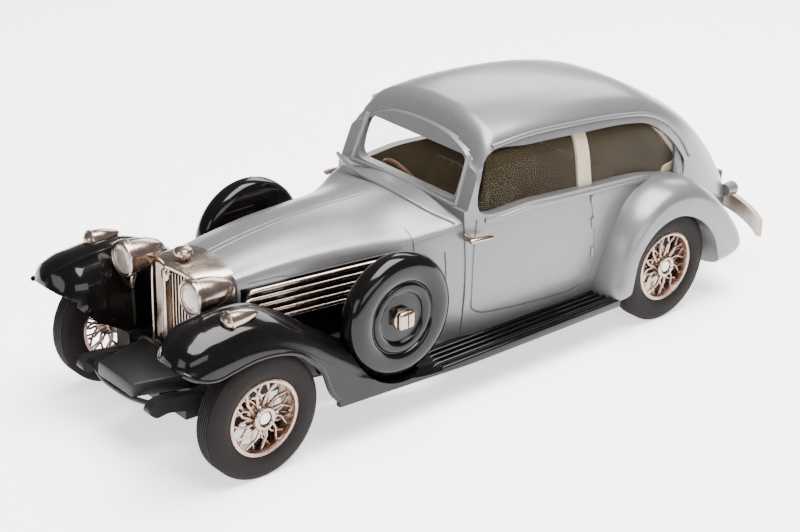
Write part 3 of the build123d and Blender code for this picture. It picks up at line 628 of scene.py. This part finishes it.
for y in np.linspace(-SCUTTLE_HALF, SCUTTLE_HALF, 30):
    x = 2.7 - 2.4 * (abs(y) / SCUTTLE_HALF) ** 2.2
    shape = curve_through(bonnet_half(x), 24)
    near = shape[np.argmin(np.abs(shape[:, 0] - y))]
    scuttle.append((x, y, near[1] + 0.02))
beads.append(tube("scuttle_ridge", scuttle, 0.30))
for bead in beads:
    wear(bead, silver)
body = joined(body, *beads)
smooth(body, 34)
stand_in(body, "body_shell")


# ------------------------------------------------------------------ front wings
# Cast in one with the ribbed running boards and sprayed gloss black: a long crown
# with a crest along its inner third, and a round well for the spare wheel.
SPARE_Z = 14.6

black, where, shader = finish_of("black_lacquer", "black_paint", Coat_Weight=0.32, Coat_Roughness=0.05,
                                 Specular_IOR_Level=0.06)
dust = where.noise(1500, 5, 0.65).above(0.60, 0.14)
haze = where.noise(140, 4)
base = haze.mix(rgba(0.0012, 0.0012, 0.0014), rgba(0.0035, 0.0028, 0.0026))
base = (dust * 0.06).mix(base, rgba(0.06, 0.055, 0.05))
feed(shader, Base_Color=base, Roughness=haze * 0.12 + dust * 0.10 + 0.12,
     Normal=where.noise(2200, 2).bump(0.09, 0.00006))


def turned(name, profile, centre, axis=(0, 1, 0), segments=64):
    """A piece turned on the lathe: (radius, distance along the axis) points, spun once round."""
    axis = Vector(axis).normalized()
    across = axis.orthogonal().normalized()
    points = [Vector(centre) + across * float(r) + axis * float(a) for r, a in profile]
    mesh = bpy.data.meshes.new(name)
    mesh.from_pydata([at(*p) for p in points], [(i, i + 1) for i in range(len(points) - 1)], [])
    piece = bpy.data.objects.new(name, mesh)
    bpy.context.scene.collection.objects.link(piece)
    only(piece)
    bpy.ops.object.mode_set(mode="EDIT")
    bpy.ops.mesh.select_all(action="SELECT")
    bpy.ops.mesh.spin(steps=segments, angle=2 * math.pi, center=at(*centre), axis=axis)
    bpy.ops.mesh.select_all(action="SELECT")
    bpy.ops.mesh.remove_doubles(threshold=2e-6)
    bpy.ops.mesh.normals_make_consistent(inside=False)
    bpy.ops.object.mode_set(mode="OBJECT")
    return piece


def mirrored(piece, name):
    """The same piece for the other side of the car."""
    other = piece.copy()
    other.data = piece.data.copy()
    other.name = name
    bpy.context.scene.collection.objects.link(other)
    other.data.transform(Matrix.Diagonal((1, -1, 1, 1)))
    other.data.flip_normals()
    return other


# x, inner and outer edge, crown height
WING = (
    (46.6, 11.4, 15.8, 18.2),
    (45.9, 10.2, 17.0, 19.3),
    (44.0, 8.6, 17.8, 20.5),
    (41.0, 8.2, 18.0, 21.0),
    (37.0, 8.2, 18.0, 21.2),
    (33.0, 8.2, 18.0, 20.5),
    (29.0, 8.2, 18.0, 18.5),
    (25.0, 8.2, 18.0, 15.6),
    (20.0, 8.4, 18.0, 12.1),
    (15.0, 9.2, 18.0, 9.0),
    (10.5, 10.6, 18.0, 6.9),
    (6.0, 12.6, 18.0, 6.2),
)
# the wheel opening's edge and the inner valance's edge, x and z
UNDER_LIP = (
    (24.0, 6.9), (25.2, 8.4), (26.6, 11.9), (28.6, 14.0), (30.8, 15.5), (33.6, 16.3), (36.4, 16.5),
    (39.6, 16.1), (42.0, 15.7), (44.4, 16.2), (46.0, 17.1),
)
INNER_FRONT = (
    (26.0, -1.0), (26.0, 10.4), (37.5, 10.4), (42.0, 13.0), (45.0, 16.2), (49.0, 18.8), (49.0, -1.0),
)
WING_FOOT = 4.9
WING_WALL = 0.75


def wing_section(x, inset=0.0, foot=WING_FOOT):
    """A section across a front wing, with its crest a third of the way out."""
    y_in, y_out, z_crown = eased(WING, x)
    depth = min(3.9, (z_crown - WING_FOOT) * 0.5)
    y_in, y_out, z_crown = y_in + inset, y_out - inset, z_crown - inset
    width = y_out - y_in
    crest = (y_in + width * 0.30, z_crown - depth * 0.06)
    inner = curve_through([(y_in, z_crown - depth * 1.4), (y_in + width * 0.10, z_crown - depth * 0.62),
                           crest], 5)
    outer = curve_through([crest, (y_in + width * 0.56, z_crown),
                           (y_out - width * 0.12, z_crown - depth * 0.32),
                           (y_out - 0.02, z_crown - depth)], 7)
    if inset == 0:
        inner[-1][1] += 0.16
    return [(x, y, z) for y, z in ((y_in, foot), *inner, *outer[1:], (y_out, foot))]


places = [46.6, 46.3] + list(np.arange(45.9, 6.01, -0.7)) + [6.0]
wing = loft("front_wing", [wing_section(x) for x in places])
boolean(wing, loft("wing_room", [wing_section(x, WING_WALL, 2.9) for x in np.arange(45.6, 20.4, -0.9)]))
lip_curve = curve_through(UNDER_LIP, 6)
boolean(wing, slab("under_lip", [(24.0, -1.0)] + list(lip_curve) + [(49.0, 19.4), (49.0, -1.0)], 9.0, 20))
boolean(wing, slab("inner_front", INNER_FRONT, 6, 9.01))
boolean(wing, brick("board", (-26.0, 12.4, 4.75), (7.0, 18.0, 6.05), 0.28, 3), "UNION")
boolean(wing, slab("underside", [(24.0, -1), (24.0, 6.0), (2.0, 4.95), (-30, 4.6), (-30, -1)], 6, 20))
boolean(wing, slab("board_room", [(12, -1), (12, 5.3), (-30, 5.15), (-30, -1)], 6, 17.3))
well = [(0, 13.75), (8.4, 13.75), (8.4, 30), (0, 30)]
boolean(wing, turned("well", well, (SPARE_X, 0, SPARE_Z), segments=96))
ribs = []
for count in range(4):
    y = 14.0 + 1.02 * count
    front = 6.6 + 0.5 * count
    path = [(front, y, 5.9), (front - 0.8, y, 6.18), (-24.6, y, 6.10), (-25.2, y, 5.85)]
    ribs.append(tube("tread_rib", path, 0.30, 10))
edge = [(x, eased(WING, x)[1] - 0.28, z + 0.1) for x, z in lip_curve]
ribs.append(tube("rolled_lip", edge, 0.36, 10, up=(0, 1, 0)))
wing = joined(wing, *ribs)
smooth(wing, 38)
wear(wing, black)
for piece, side in ((wing, "left"), (mirrored(wing, "front_wing_right"), "right")):
    stand_in(piece, "front_wing_" + side)


# ------------------------------------------------------------------------- tyres
# Moulded black rubber with a square shoulder and fine rings round the tread,
# stretched over the rims.
ENDS = (("front", HALF_WHEELBASE), ("rear", -HALF_WHEELBASE))
WHEEL_Y = 16.05         # a wheel's middle plane

rubber, where, shader = finish_of("tyre_rubber", "tyre_rubber", Specular_IOR_Level=0.10)
bloom = where.noise(380, 5, 0.6)
fine = where.noise(4200, 3)
feed(shader, Base_Color=(bloom * 0.8).mix(rgba(0.0025, 0.0022, 0.0022), rgba(0.013, 0.0095, 0.0085)),
     Roughness=bloom * 0.2 + 0.55, Normal=fine.bump(0.35, 0.00008))


def tyre_profile():
    """One closed section: two like sidewalls, and six rings with a groove after each."""
    wall = [(5.0, 1.35), (5.25, 1.55), (6.0, 1.70), (6.9, 1.68), (7.15, 1.60), (7.35, 1.62), (7.95, 1.28)]
    tread = []
    for count in range(6):
        y = -1.08 + 0.36 * count
        tread += [(8.18, y), (8.2, y + 0.22), (8.07, y + 0.26), (8.07, y + 0.32)]
    return [(r, -y) for r, y in wall] + tread + [(8.18, 1.10)] + wall[::-1] + [(5.0, -1.35)]


for end, x in ENDS:
    for side, sign in SIDES:
        tyre = turned("tyre", tyre_profile(), (x, WHEEL_Y * sign, AXLE_Z), segments=120)
        smooth(tyre, 40)
        wear(tyre, rubber)
        stand_in(tyre, f"tyre_{end}_{side}", end + "_wheels")


# --------------------------------------------------------------- wheels and hubs
# Plated wire wheels: a turned rim, two layers of crossed spokes in front of a
# third, and a plated knock-off ring round the axle's end.
wire, where, shader = finish_of("wire_wheel_plate", "wire_wheel", Metallic=1.0)
stain = where.noise(1100, 4)
feed(shader, Base_Color=stain.mix(rgba(0.20, 0.120, 0.090), rgba(0.47, 0.345, 0.285)),
     Roughness=stain * 0.22 + 0.16)

nickel, where, shader = finish_of("warm_nickel", "nickel_plate", Metallic=1.0)
stain = where.noise(520, 5, 0.65)
feed(shader, Base_Color=stain.mix(rgba(0.22, 0.165, 0.130), rgba(0.46, 0.375, 0.315)),
     Roughness=stain * 0.20 + 0.13, Normal=where.noise(1700, 3).bump(0.12, 0.00010))


def spoke_layer(centre, sign, lean, y_hub, y_rim, radius, phase):
    """Twelve spokes that lean the same way, each from the hub to the rim."""
    spokes = []
    for count in range(12):
        start = 2 * math.pi * count / 12 + phase
        end = start + math.radians(lean)
        mid = (start + end) / 2
        path = []
        for r, a, y in ((1.15, start, y_hub), (2.9, mid, (y_hub * 0.5 + y_rim * 0.5)), (4.62, end, y_rim)):
            path.append((centre[0] + r * math.cos(a), centre[1] + sign * y, centre[2] + r * math.sin(a)))
        spokes.append(tube("spoke", path, [radius * 1.25, radius, radius * 1.05], 7, up=(0, 1, 0)))
    return spokes


# radius and distance out from the wheel's middle plane, each a closed section
RIM = (
    (4.52, 1.28), (4.60, 1.50), (4.85, 1.58), (5.04, 1.50), (5.07, 1.30), (5.02, 0.9), (5.02, -1.4),
    (4.7, -1.5), (4.52, -1.3), (4.40, 0.0), (4.44, 0.95), (4.52, 1.28),
)
HUB = (
    (0.74, 1.15), (1.05, 1.20), (1.30, 1.05), (1.45, 0.70), (2.0, 0.52), (2.1, 0.30), (1.3, -0.2),
    (1.25, -1.45), (0.74, -1.45), (0.74, 1.15),
)
KNOCK_OFF = (
    (0.90, 1.10), (0.95, 1.62), (1.12, 1.78), (1.38, 1.76), (1.55, 1.60), (1.60, 1.25), (1.45, 1.10),
    (0.90, 1.10),
)
for end, x in ENDS:
    for side, sign in SIDES:
        centre = (x, WHEEL_Y * sign, AXLE_Z)
        rim = turned("rim", [(r, sign * a) for r, a in RIM], centre, segments=96)
        hub = turned("hub", [(r, sign * a) for r, a in HUB], centre, segments=40)
        spokes = spoke_layer(centre, sign, 32, 0.95, 0.72, 0.17, 0.0)
        spokes += spoke_layer(centre, sign, -32, 0.70, 0.55, 0.17, 0.26)
        spokes += spoke_layer(centre, sign, 10, -0.6, 0.1, 0.14, 0.1)
        wheel = joined(rim, hub, *spokes)
        smooth(wheel, 40)
        wear(wheel, wire)
        stand_in(wheel, f"wheel_{end}_{side}", end + "_wheels")
        cap = turned("hub_cap", [(r, sign * a) for r, a in KNOCK_OFF], centre, segments=48)
        smooth(cap, 35)
        wear(cap, nickel)
        stand_in(cap, f"hub_cap_{end}_{side}", end + "_wheels")


# ---------------------------------------------------------- spare wheels, in covers
# A pressed cover over each spare, sprayed gloss black with the wings, held by a
# plated two-part nut with a slot across it.
SPARE_BACK = (SPARE_X, 13.8, SPARE_Z)       # the middle of the cover's back
COVER = (
    (7.2, 0.0), (8.0, 0.55), (8.28, 1.5), (8.26, 2.3), (7.9, 3.05), (7.2, 3.5), (6.3, 3.62),
    (5.5, 3.50), (5.05, 3.30), (4.85, 3.02), (4.7, 3.05), (4.55, 3.28), (4.2, 3.36), (3.75, 3.30),
    (3.45, 3.10), (3.3, 2.80), (3.1, 2.74), (2.2, 2.80), (1.0, 2.84),
)
NUT_BASE = ((0, 2.6), (1.45, 2.6), (1.55, 2.9), (1.45, 3.3), (1.25, 3.45), (0, 3.45))
cover = turned("spare_cover", [(0, 0.0), *curve_through(COVER, 3), (0, 2.84)], SPARE_BACK, segments=128)
boolean(cover, bonnet_form("keep_out", -0.02))
smooth(cover, 40)
wear(cover, black)
nut = turned("spare_nut", NUT_BASE, SPARE_BACK, segments=48)
block = brick("nut_block", (11.9, 17.0, 13.35), (14.5, 18.1, 15.85), 0.55, 4)
boolean(block, brick("slot", (13.08, 17.8, 12.0), (13.32, 19.0, 17.0)))
nut = joined(nut, block)
smooth(nut, 35)
wear(nut, nickel)
for piece, name in ((cover, "spare_wheel_"), (nut, "spare_nut_")):
    for one, side in ((piece, "left"), (mirrored(piece, name + "right"), "right")):
        stand_in(one, name + side)


# -------------------------------------------------------------------- headlamps
# Plated bullet shells with a stepped rim and a painted lens, each on a curved
# stay that stands on the wing's inner side.
lens_paint, where, shader = finish_of("lamp_lens", "lamp_lens", Metallic=0.35, Coat_Weight=0.8,
                                      Coat_Roughness=0.08)
cloudy = where.noise(700, 3)
feed(shader, Base_Color=cloudy.mix(rgba(0.20, 0.155, 0.14), rgba(0.32, 0.265, 0.245)),
     Roughness=cloudy * 0.15 + 0.14, Normal=cloudy.bump(0.10, 0.0001))

LAMP_FRONT = (38.6, 7.34, 21.15)
# radius and distance ahead of the lamp's front
BULLET = ((0.02, -6.2), (0.6, -6.05), (1.2, -5.4), (1.72, -4.2), (2.05, -2.8), (2.2, -1.4), (2.22, -1.0))
LAMP_RIM = (
    (2.36, -0.95), (2.42, -0.7), (2.36, -0.45), (2.42, -0.25), (2.36, 0.0), (2.20, 0.10), (2.02, 0.02),
    (1.98, -0.30), (0.0, -0.30),
)
LENS = (
    (0, -0.28), (1.95, -0.28), (1.95, -0.10), (1.80, 0.00), (1.72, -0.05), (1.30, 0.06), (1.22, 0.02),
    (0.6, 0.12), (0, 0.14),
)
STAY = ((36.1, 9.2, 14.8), (36.5, 8.7, 16.2), (36.8, 7.9, 17.8), (36.7, 7.45, 19.2))
lamp = turned("headlamp", [(0, -6.2), *curve_through(BULLET, 5), *LAMP_RIM], LAMP_FRONT, (1, 0, 0))
smooth(lamp, 35)
wear(lamp, nickel)
lens = turned("headlamp_lens", LENS, LAMP_FRONT, (1, 0, 0))
smooth(lens, 25)
wear(lens, lens_paint)
stay = tube("headlamp_stay", curve_through(STAY, 6), 0.42, 12, up=(1, 0, 0))
smooth(stay, 40)
wear(stay, nickel)
for piece, name in ((lamp, "headlamp_"), (lens, "headlamp_lens_"), (stay, "headlamp_stay_")):
    for one, side in ((piece, "left"), (mirrored(piece, name + "right"), "right")):
        stand_in(one, name + side)


# -------------------------------------------------------------------- sidelamps
# Small teardrop castings on the wings' crowns, plated, each with a rim and a
# domed nose, and a foot that is let into the wing.
TEARDROP = ((0.05, -2.95), (0.45, -2.4), (0.85, -1.4), (1.12, -0.2), (1.20, 0.7), (1.22, 1.2))
NOSE = ((1.36, 1.28), (1.38, 1.55), (1.20, 1.66), (1.12, 1.62), (0.9, 2.0), (0.5, 2.25), (0, 2.32))
profile = [(0.0, -3.0), *curve_through(TEARDROP, 4), *NOSE]
side_lamp = turned("sidelamp", profile, (37.0, 14.85, 21.0), (1, 0, 0), 48)
foot = brick("foot", (35.3, 14.25, 19.6), (38.4, 15.45, 20.9), 0.3, 2)
side_lamp = joined(side_lamp, foot)
smooth(side_lamp, 35)
wear(side_lamp, nickel)
for one, side in ((side_lamp, "left"), (mirrored(side_lamp, "sidelamp_right"), "right")):
    stand_in(one, "sidelamp_" + side)


# --------------------------------------------------------------------- radiator
# A plated shell with a veed face and domed top, a raised border, a rib down
# the middle, upright slats behind, and a filler cap.
PROW = 37.1             # the vee's front edge
SHELL_BACK = 30.7


def vee(y):
    """Where the veed face is, this far from the middle."""
    return PROW - 0.3 * abs(y)


def arch_ring(inset, place):
    """The shell's arched outline, drawn in; it is veed unless it is the back one."""
    half = [(6.3 - inset, 9.2 + inset * 0.8), (6.42 - inset, 12.0), (6.46 - inset, 15.0),
            (6.35 - inset, 18.6), (6.05 - inset, 20.5 - inset * 0.5),
            (5.0 - inset * 0.7, 21.75 - inset), (2.5, 22.45 - inset), (0, 22.75 - inset)]
    shape = curve_through(half + [(-y, z) for y, z in half[:-1]][::-1], 5)
    return [(place if place == SHELL_BACK else vee(y) + place - PROW, y, z) for y, z in shape]


BORDER = (
    (0.0, SHELL_BACK), (0.0, 36.7), (0.08, 36.98), (0.28, 37.12), (0.62, 37.12), (0.80, 36.98),
    (0.88, 36.2), (0.95, 35.6),
)
CAP = (
    (0, 22.2), (0.85, 22.2), (0.8, 22.6), (0.55, 22.75), (0.55, 23.1), (1.05, 23.2), (1.22, 23.4),
    (1.22, 23.75), (1.05, 24.0), (0.5, 24.2), (0, 24.25),
)
radiator = loft("radiator_shell", [arch_ring(inset, place) for inset, place in BORDER])
rib = brick("rib", (35.6, -0.34, 9.3), (37.42, 0.34, 22.1), 0.2, 3)
boss = [(0, 0), (0.9, 0), (0.85, 0.2), (0.5, 0.4), (0, 0.48)]
bump = turned("bump", boss, (36.95, 0, 21.3), (1, 0, 0.15), 32)
radiator = joined(radiator, rib, bump)
smooth(radiator, 32)
wear(radiator, nickel)
stand_in(radiator, "radiator_shell")
slats = []
for count in range(11):
    y = 0.55 + 0.445 * count
    top = 21.6 - 0.9 * (y / 5.0) ** 3
    for _, sign in SIDES:
        low, high = (vee(y) - 1.35, sign * y - 0.11, 9.9), (vee(y) - 0.42, sign * y + 0.11, top)
        slats.append(brick("slat", low, high, 0.05, 1))
grille = joined(*slats)
wear(grille, nickel)
stand_in(grille, "radiator_grille")
cap = turned("radiator_cap", CAP, (34.4, 0, 0), (0, 0, 1), 40)
smooth(cap, 35)
wear(cap, nickel)
stand_in(cap, "radiator_cap")


# ---------------------------------------------------- painted shade on the bonnet sides, louvres
# A gloss black sheet over the bonnet's lower sides is painted shade and a painted reflection of the black
# wings; five bright strips are laid over it, each bent down at its front end.
SHEET_PROUD = 0.04
STRIP_TOP, STRIP_PITCH = 19.15, 1.07
STRIP_FRONTS = (29.1, 29.6, 29.9, 29.2, 28.4)
# The black sheet just proud of the silver bonnet side is painted shade and painted reflection of the wing.
rings = []
for x in np.linspace(8.0, 30.6, 26):
    outer = [(x, bonnet_y(x, z) + SHEET_PROUD, z) for z in np.linspace(10.2, 19.75, 12)]
    rings.append(outer + [(x, y - 0.3 - SHEET_PROUD, z) for x, y, z in outer[::-1]])
sheet = loft("bonnet_shade_sheet_left", rings)
smooth(sheet, 35)
wear(sheet, black)
strips = []
for count, front in enumerate(STRIP_FRONTS):
    z = STRIP_TOP - STRIP_PITCH * count
    path = [(x, bonnet_y(x, z) + 0.16, z) for x in np.linspace(11.0, front, 20)]
    y = bonnet_y(front, z)
    path += [(front + 0.45, y + 0.16, z - 0.22), (front + 0.70, y + 0.10, z - 0.62)]
    strips.append(tube("strip", path, [0.34] * 20 + [0.31, 0.22], 10))
strips = joined(*strips)
smooth(strips, 40)
wear(strips, nickel)
for piece, name in ((sheet, "bonnet_shade_sheet_"), (strips, "bonnet_louvres_")):
    for one, side in ((piece, "left"), (mirrored(piece, name + "right"), "right")):
        if piece is strips:
            stand_in(one, name + side)
        else:
            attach(one, "model")


# ------------------------------------------------------------------ front apron
# The tray between the chassis ends: one rough black casting with bevelled
# edges, two curled dumb irons and a cross tube.
black_cast, where, shader = finish_of("black_casting", "black_paint", Coat_Weight=0.12, Coat_Roughness=0.3,
                                      Specular_IOR_Level=0.2)
grit = where.noise(2300, 5, 0.7)
feed(shader, Base_Color=grit.mix(rgba(0.0015, 0.0015, 0.0015), rgba(0.008, 0.0075, 0.007)),
     Roughness=grit * 0.25 + 0.36, Normal=grit.bump(0.45, 0.00016))

tray = loft("front_apron", [[(37.0, -6.0, 8.0), (45.1, -3.9, 8.4), (45.1, 3.9, 8.4), (37.0, 6.0, 8.0)],
                            [(36.6, -6.1, 10.3), (44.9, -3.9, 10.3), (44.9, 3.9, 10.3), (36.6, 6.1, 10.3)]])
rounding = tray.modifiers.new("rounding", "BEVEL")
rounding.width, rounding.segments = 0.4 * MM, 2
only(tray)
bpy.ops.object.modifier_apply(modifier=rounding.name)
DUMB_IRON = (
    (30.0, 6.2), (30.0, 8.2), (38.0, 8.6), (42.4, 9.4), (44.6, 9.3), (45.4, 8.3), (44.4, 7.3),
    (42.6, 7.4), (38.0, 6.4),
)
CROSS_TUBE = ((43.6, -6.9, 8.3), (44.6, -3.5, 8.1), (44.8, 0, 8.0), (44.6, 3.5, 8.1), (43.6, 6.9, 8.3))
iron_outline = curve_through(DUMB_IRON, 4, closed=True)
irons = [slab("iron", iron_outline, *sorted((6.8 * sign, 8.2 * sign))) for _, sign in SIDES]
rod = tube("cross_tube", curve_through(CROSS_TUBE, 5), 0.36, 12)
beam = brick("beam", (35.9, -8.4, 6.5), (37.9, 8.4, 8.2), 0.3, 2)
tray = joined(tray, rod, beam, *irons)
smooth(tray, 30)
wear(tray, black_cast)
stand_in(tray, "front_apron")


# ------------------------------------------------------------------------ seats
# Cast seats painted maroon brown, with pleats moulded across cushion and back:
# two in front and a bench behind, glued to the floor.
SEAT_FOOT = 6.6


def pleated(name, x_front, x_back, y_low, y_high, seat_z, back_z, lean, pleats):
    """A cushion and leaning back in one, with rounded ends and a swell for each pleat."""
    outline = curve_through([
        (x_front, SEAT_FOOT), (x_front + 0.1, seat_z - 1.2), (x_front - 0.9, seat_z),
        (x_back + 2.2, seat_z - 0.3), (x_back + 1.6, seat_z + 0.8), (x_back + 1.9 - lean, back_z - 0.8),
        (x_back + 1.0 - lean, back_z + 0.1),
        (x_back - lean * 0.9, back_z - 0.9), (x_back - lean * 0.2, SEAT_FOOT)], 4)
    heart = np.array(outline).mean(axis=0)
    rings = []
    for y in np.linspace(y_low, y_high, pleats * 6 + 1):
        swell = abs(math.sin(math.pi * pleats * (y - y_low) / (y_high - y_low))) ** 0.6
        edge = min(1.0, (min(y - y_low, y_high - y) + 0.25) / 0.9) ** 0.5
        rings.append([(x + (heart[0] - x) * 0.06 * (1 - edge) + (x - heart[0]) * 0.018 * swell, y,
                       z + (heart[1] - z) * 0.05 * (1 - edge) + max(z - 9, 0) / 14 * 0.22 * swell)
                      for x, z in outline])
    piece = loft(name, rings)
    smooth(piece, 50)
    wear(piece, maroon)
    stand_in(piece, name)


pleated("front_seat_left", -8.4, -16.4, 1.4, 10.8, 12.6, 20.4, 1.6, 6)
pleated("front_seat_right", -8.4, -16.4, -10.8, -1.4, 12.6, 20.4, 1.6, 6)
pleated("rear_seat", -20.6, -28.8, -11.0, 11.0, 13.4, 21.6, 2.2, 14)


# ----------------------------------------------------------------- door handles
# Plated grips, each cast with one foot at its front end and pressed into the
# door.
HANDLE_Z, FOOT_X = 20.75, -0.3
GRIP = ((0.35, 14.9, HANDLE_Z), (-0.5, 15.1, 20.8), (-2.0, 15.2, 20.7), (-3.8, 15.1, 20.45))
path = curve_through(GRIP, 5)
grip = tube("grip", path, [0.20] + [0.40] * (len(path) - 3) + [0.34, 0.16], 12, flat=0.8)
foot = tube("foot", [(FOOT_X, y, HANDLE_Z) for y in (13.5, 14.4, 15.1)], [0.55, 0.36, 0.36], 12)
handle = joined(grip, foot)
smooth(handle, 40)
wear(handle, nickel)
for one, side in ((handle, "left"), (mirrored(handle, "door_handle_right"), "right")):
    stand_in(one, "door_handle_" + side)


# ------------------------------------------------------------ glazing and its trim
# Clear moulded panes that have yellowed with age, glued in from inside; a cream
# pillar stands behind the door's glass and a cream crescent at its back end.
glass, where, shader = finish_of("yellowed_glazing", "glazing", Specular_IOR_Level=0.4)
yellow = where.noise(200, 4)
tint = yellow.mix(rgba(0.12, 0.095, 0.05), rgba(0.20, 0.17, 0.10))
feed(shader, Base_Color=tint, Roughness=yellow * 0.14 + 0.06, Alpha=yellow * 0.06 + 0.03,
     Normal=where.noise(800, 2).bump(0.08, 0.0001))

cream, where, shader = finish_of("cream_trim", "cream_paint", Roughness=0.45)
feed(shader, Base_Color=where.noise(800, 4).mix(rgba(0.30, 0.25, 0.17), rgba(0.42, 0.37, 0.27)))


def dress(finish, *nodes):
    """A CAD shape that is right as it is takes a finish."""
    for node in nodes:
        wear(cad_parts[node], finish)


dress(glass, "windscreen", "side_glazing_left", "side_glazing_right", "rear_glazing")
dress(cream, "window_pillar_left", "window_pillar_right", "quarter_trim_left", "quarter_trim_right")


# --------------------------------------------------------- cabin floor and controls
# The floor and dashboard are painted with the seats; the steering wheel and its
# column are a red-brown moulding glued to the dashboard.
redwood, where, shader = finish_of("steering_brown", "wheel_brown", Coat_Weight=0.5, Coat_Roughness=0.15)
grain = where.noise(1300, 4)
feed(shader, Base_Color=grain.mix(rgba(0.10, 0.022, 0.012), rgba(0.17, 0.045, 0.022)),
     Roughness=grain * 0.15 + 0.3)
dress(maroon, "cabin_floor", "dashboard")
dress(redwood, "steering_wheel", "steering_column")


# ----------------------------------------------------------------------- rear end
# A bowed blade bumper in tarnished plate on two arms, silver tail lamp pods cast
# on the tail, and a blank black number plate.
bronze, where, shader = finish_of("brassy_spoke", "nickel_plate", Metallic=1.0)
stain = where.noise(900, 4)
feed(shader, Base_Color=stain.mix(rgba(0.16, 0.11, 0.08), rgba(0.38, 0.32, 0.27)),
     Roughness=stain * 0.2 + 0.22)
dress(bronze, "rear_bumper")
dress(silver, "tail_lamp_left", "tail_lamp_right")
dress(black, "rear_plate")


# --------------------------------------------------------------- base and axles
# A rough black base casting is held by two steel screws and carries the two
# turned steel axles in its bearings.
steel, where, shader = finish_of("turned_steel", "steel", Metallic=1.0)
grain = where.noise(1800, 3)
feed(shader, Base_Color=grain.mix(rgba(0.42, 0.39, 0.36), rgba(0.60, 0.57, 0.54)),
     Roughness=grain * 0.2 + 0.25)
dress(black_cast, "base_plate")
dress(steel, "base_screws", "front_axle", "rear_axle")
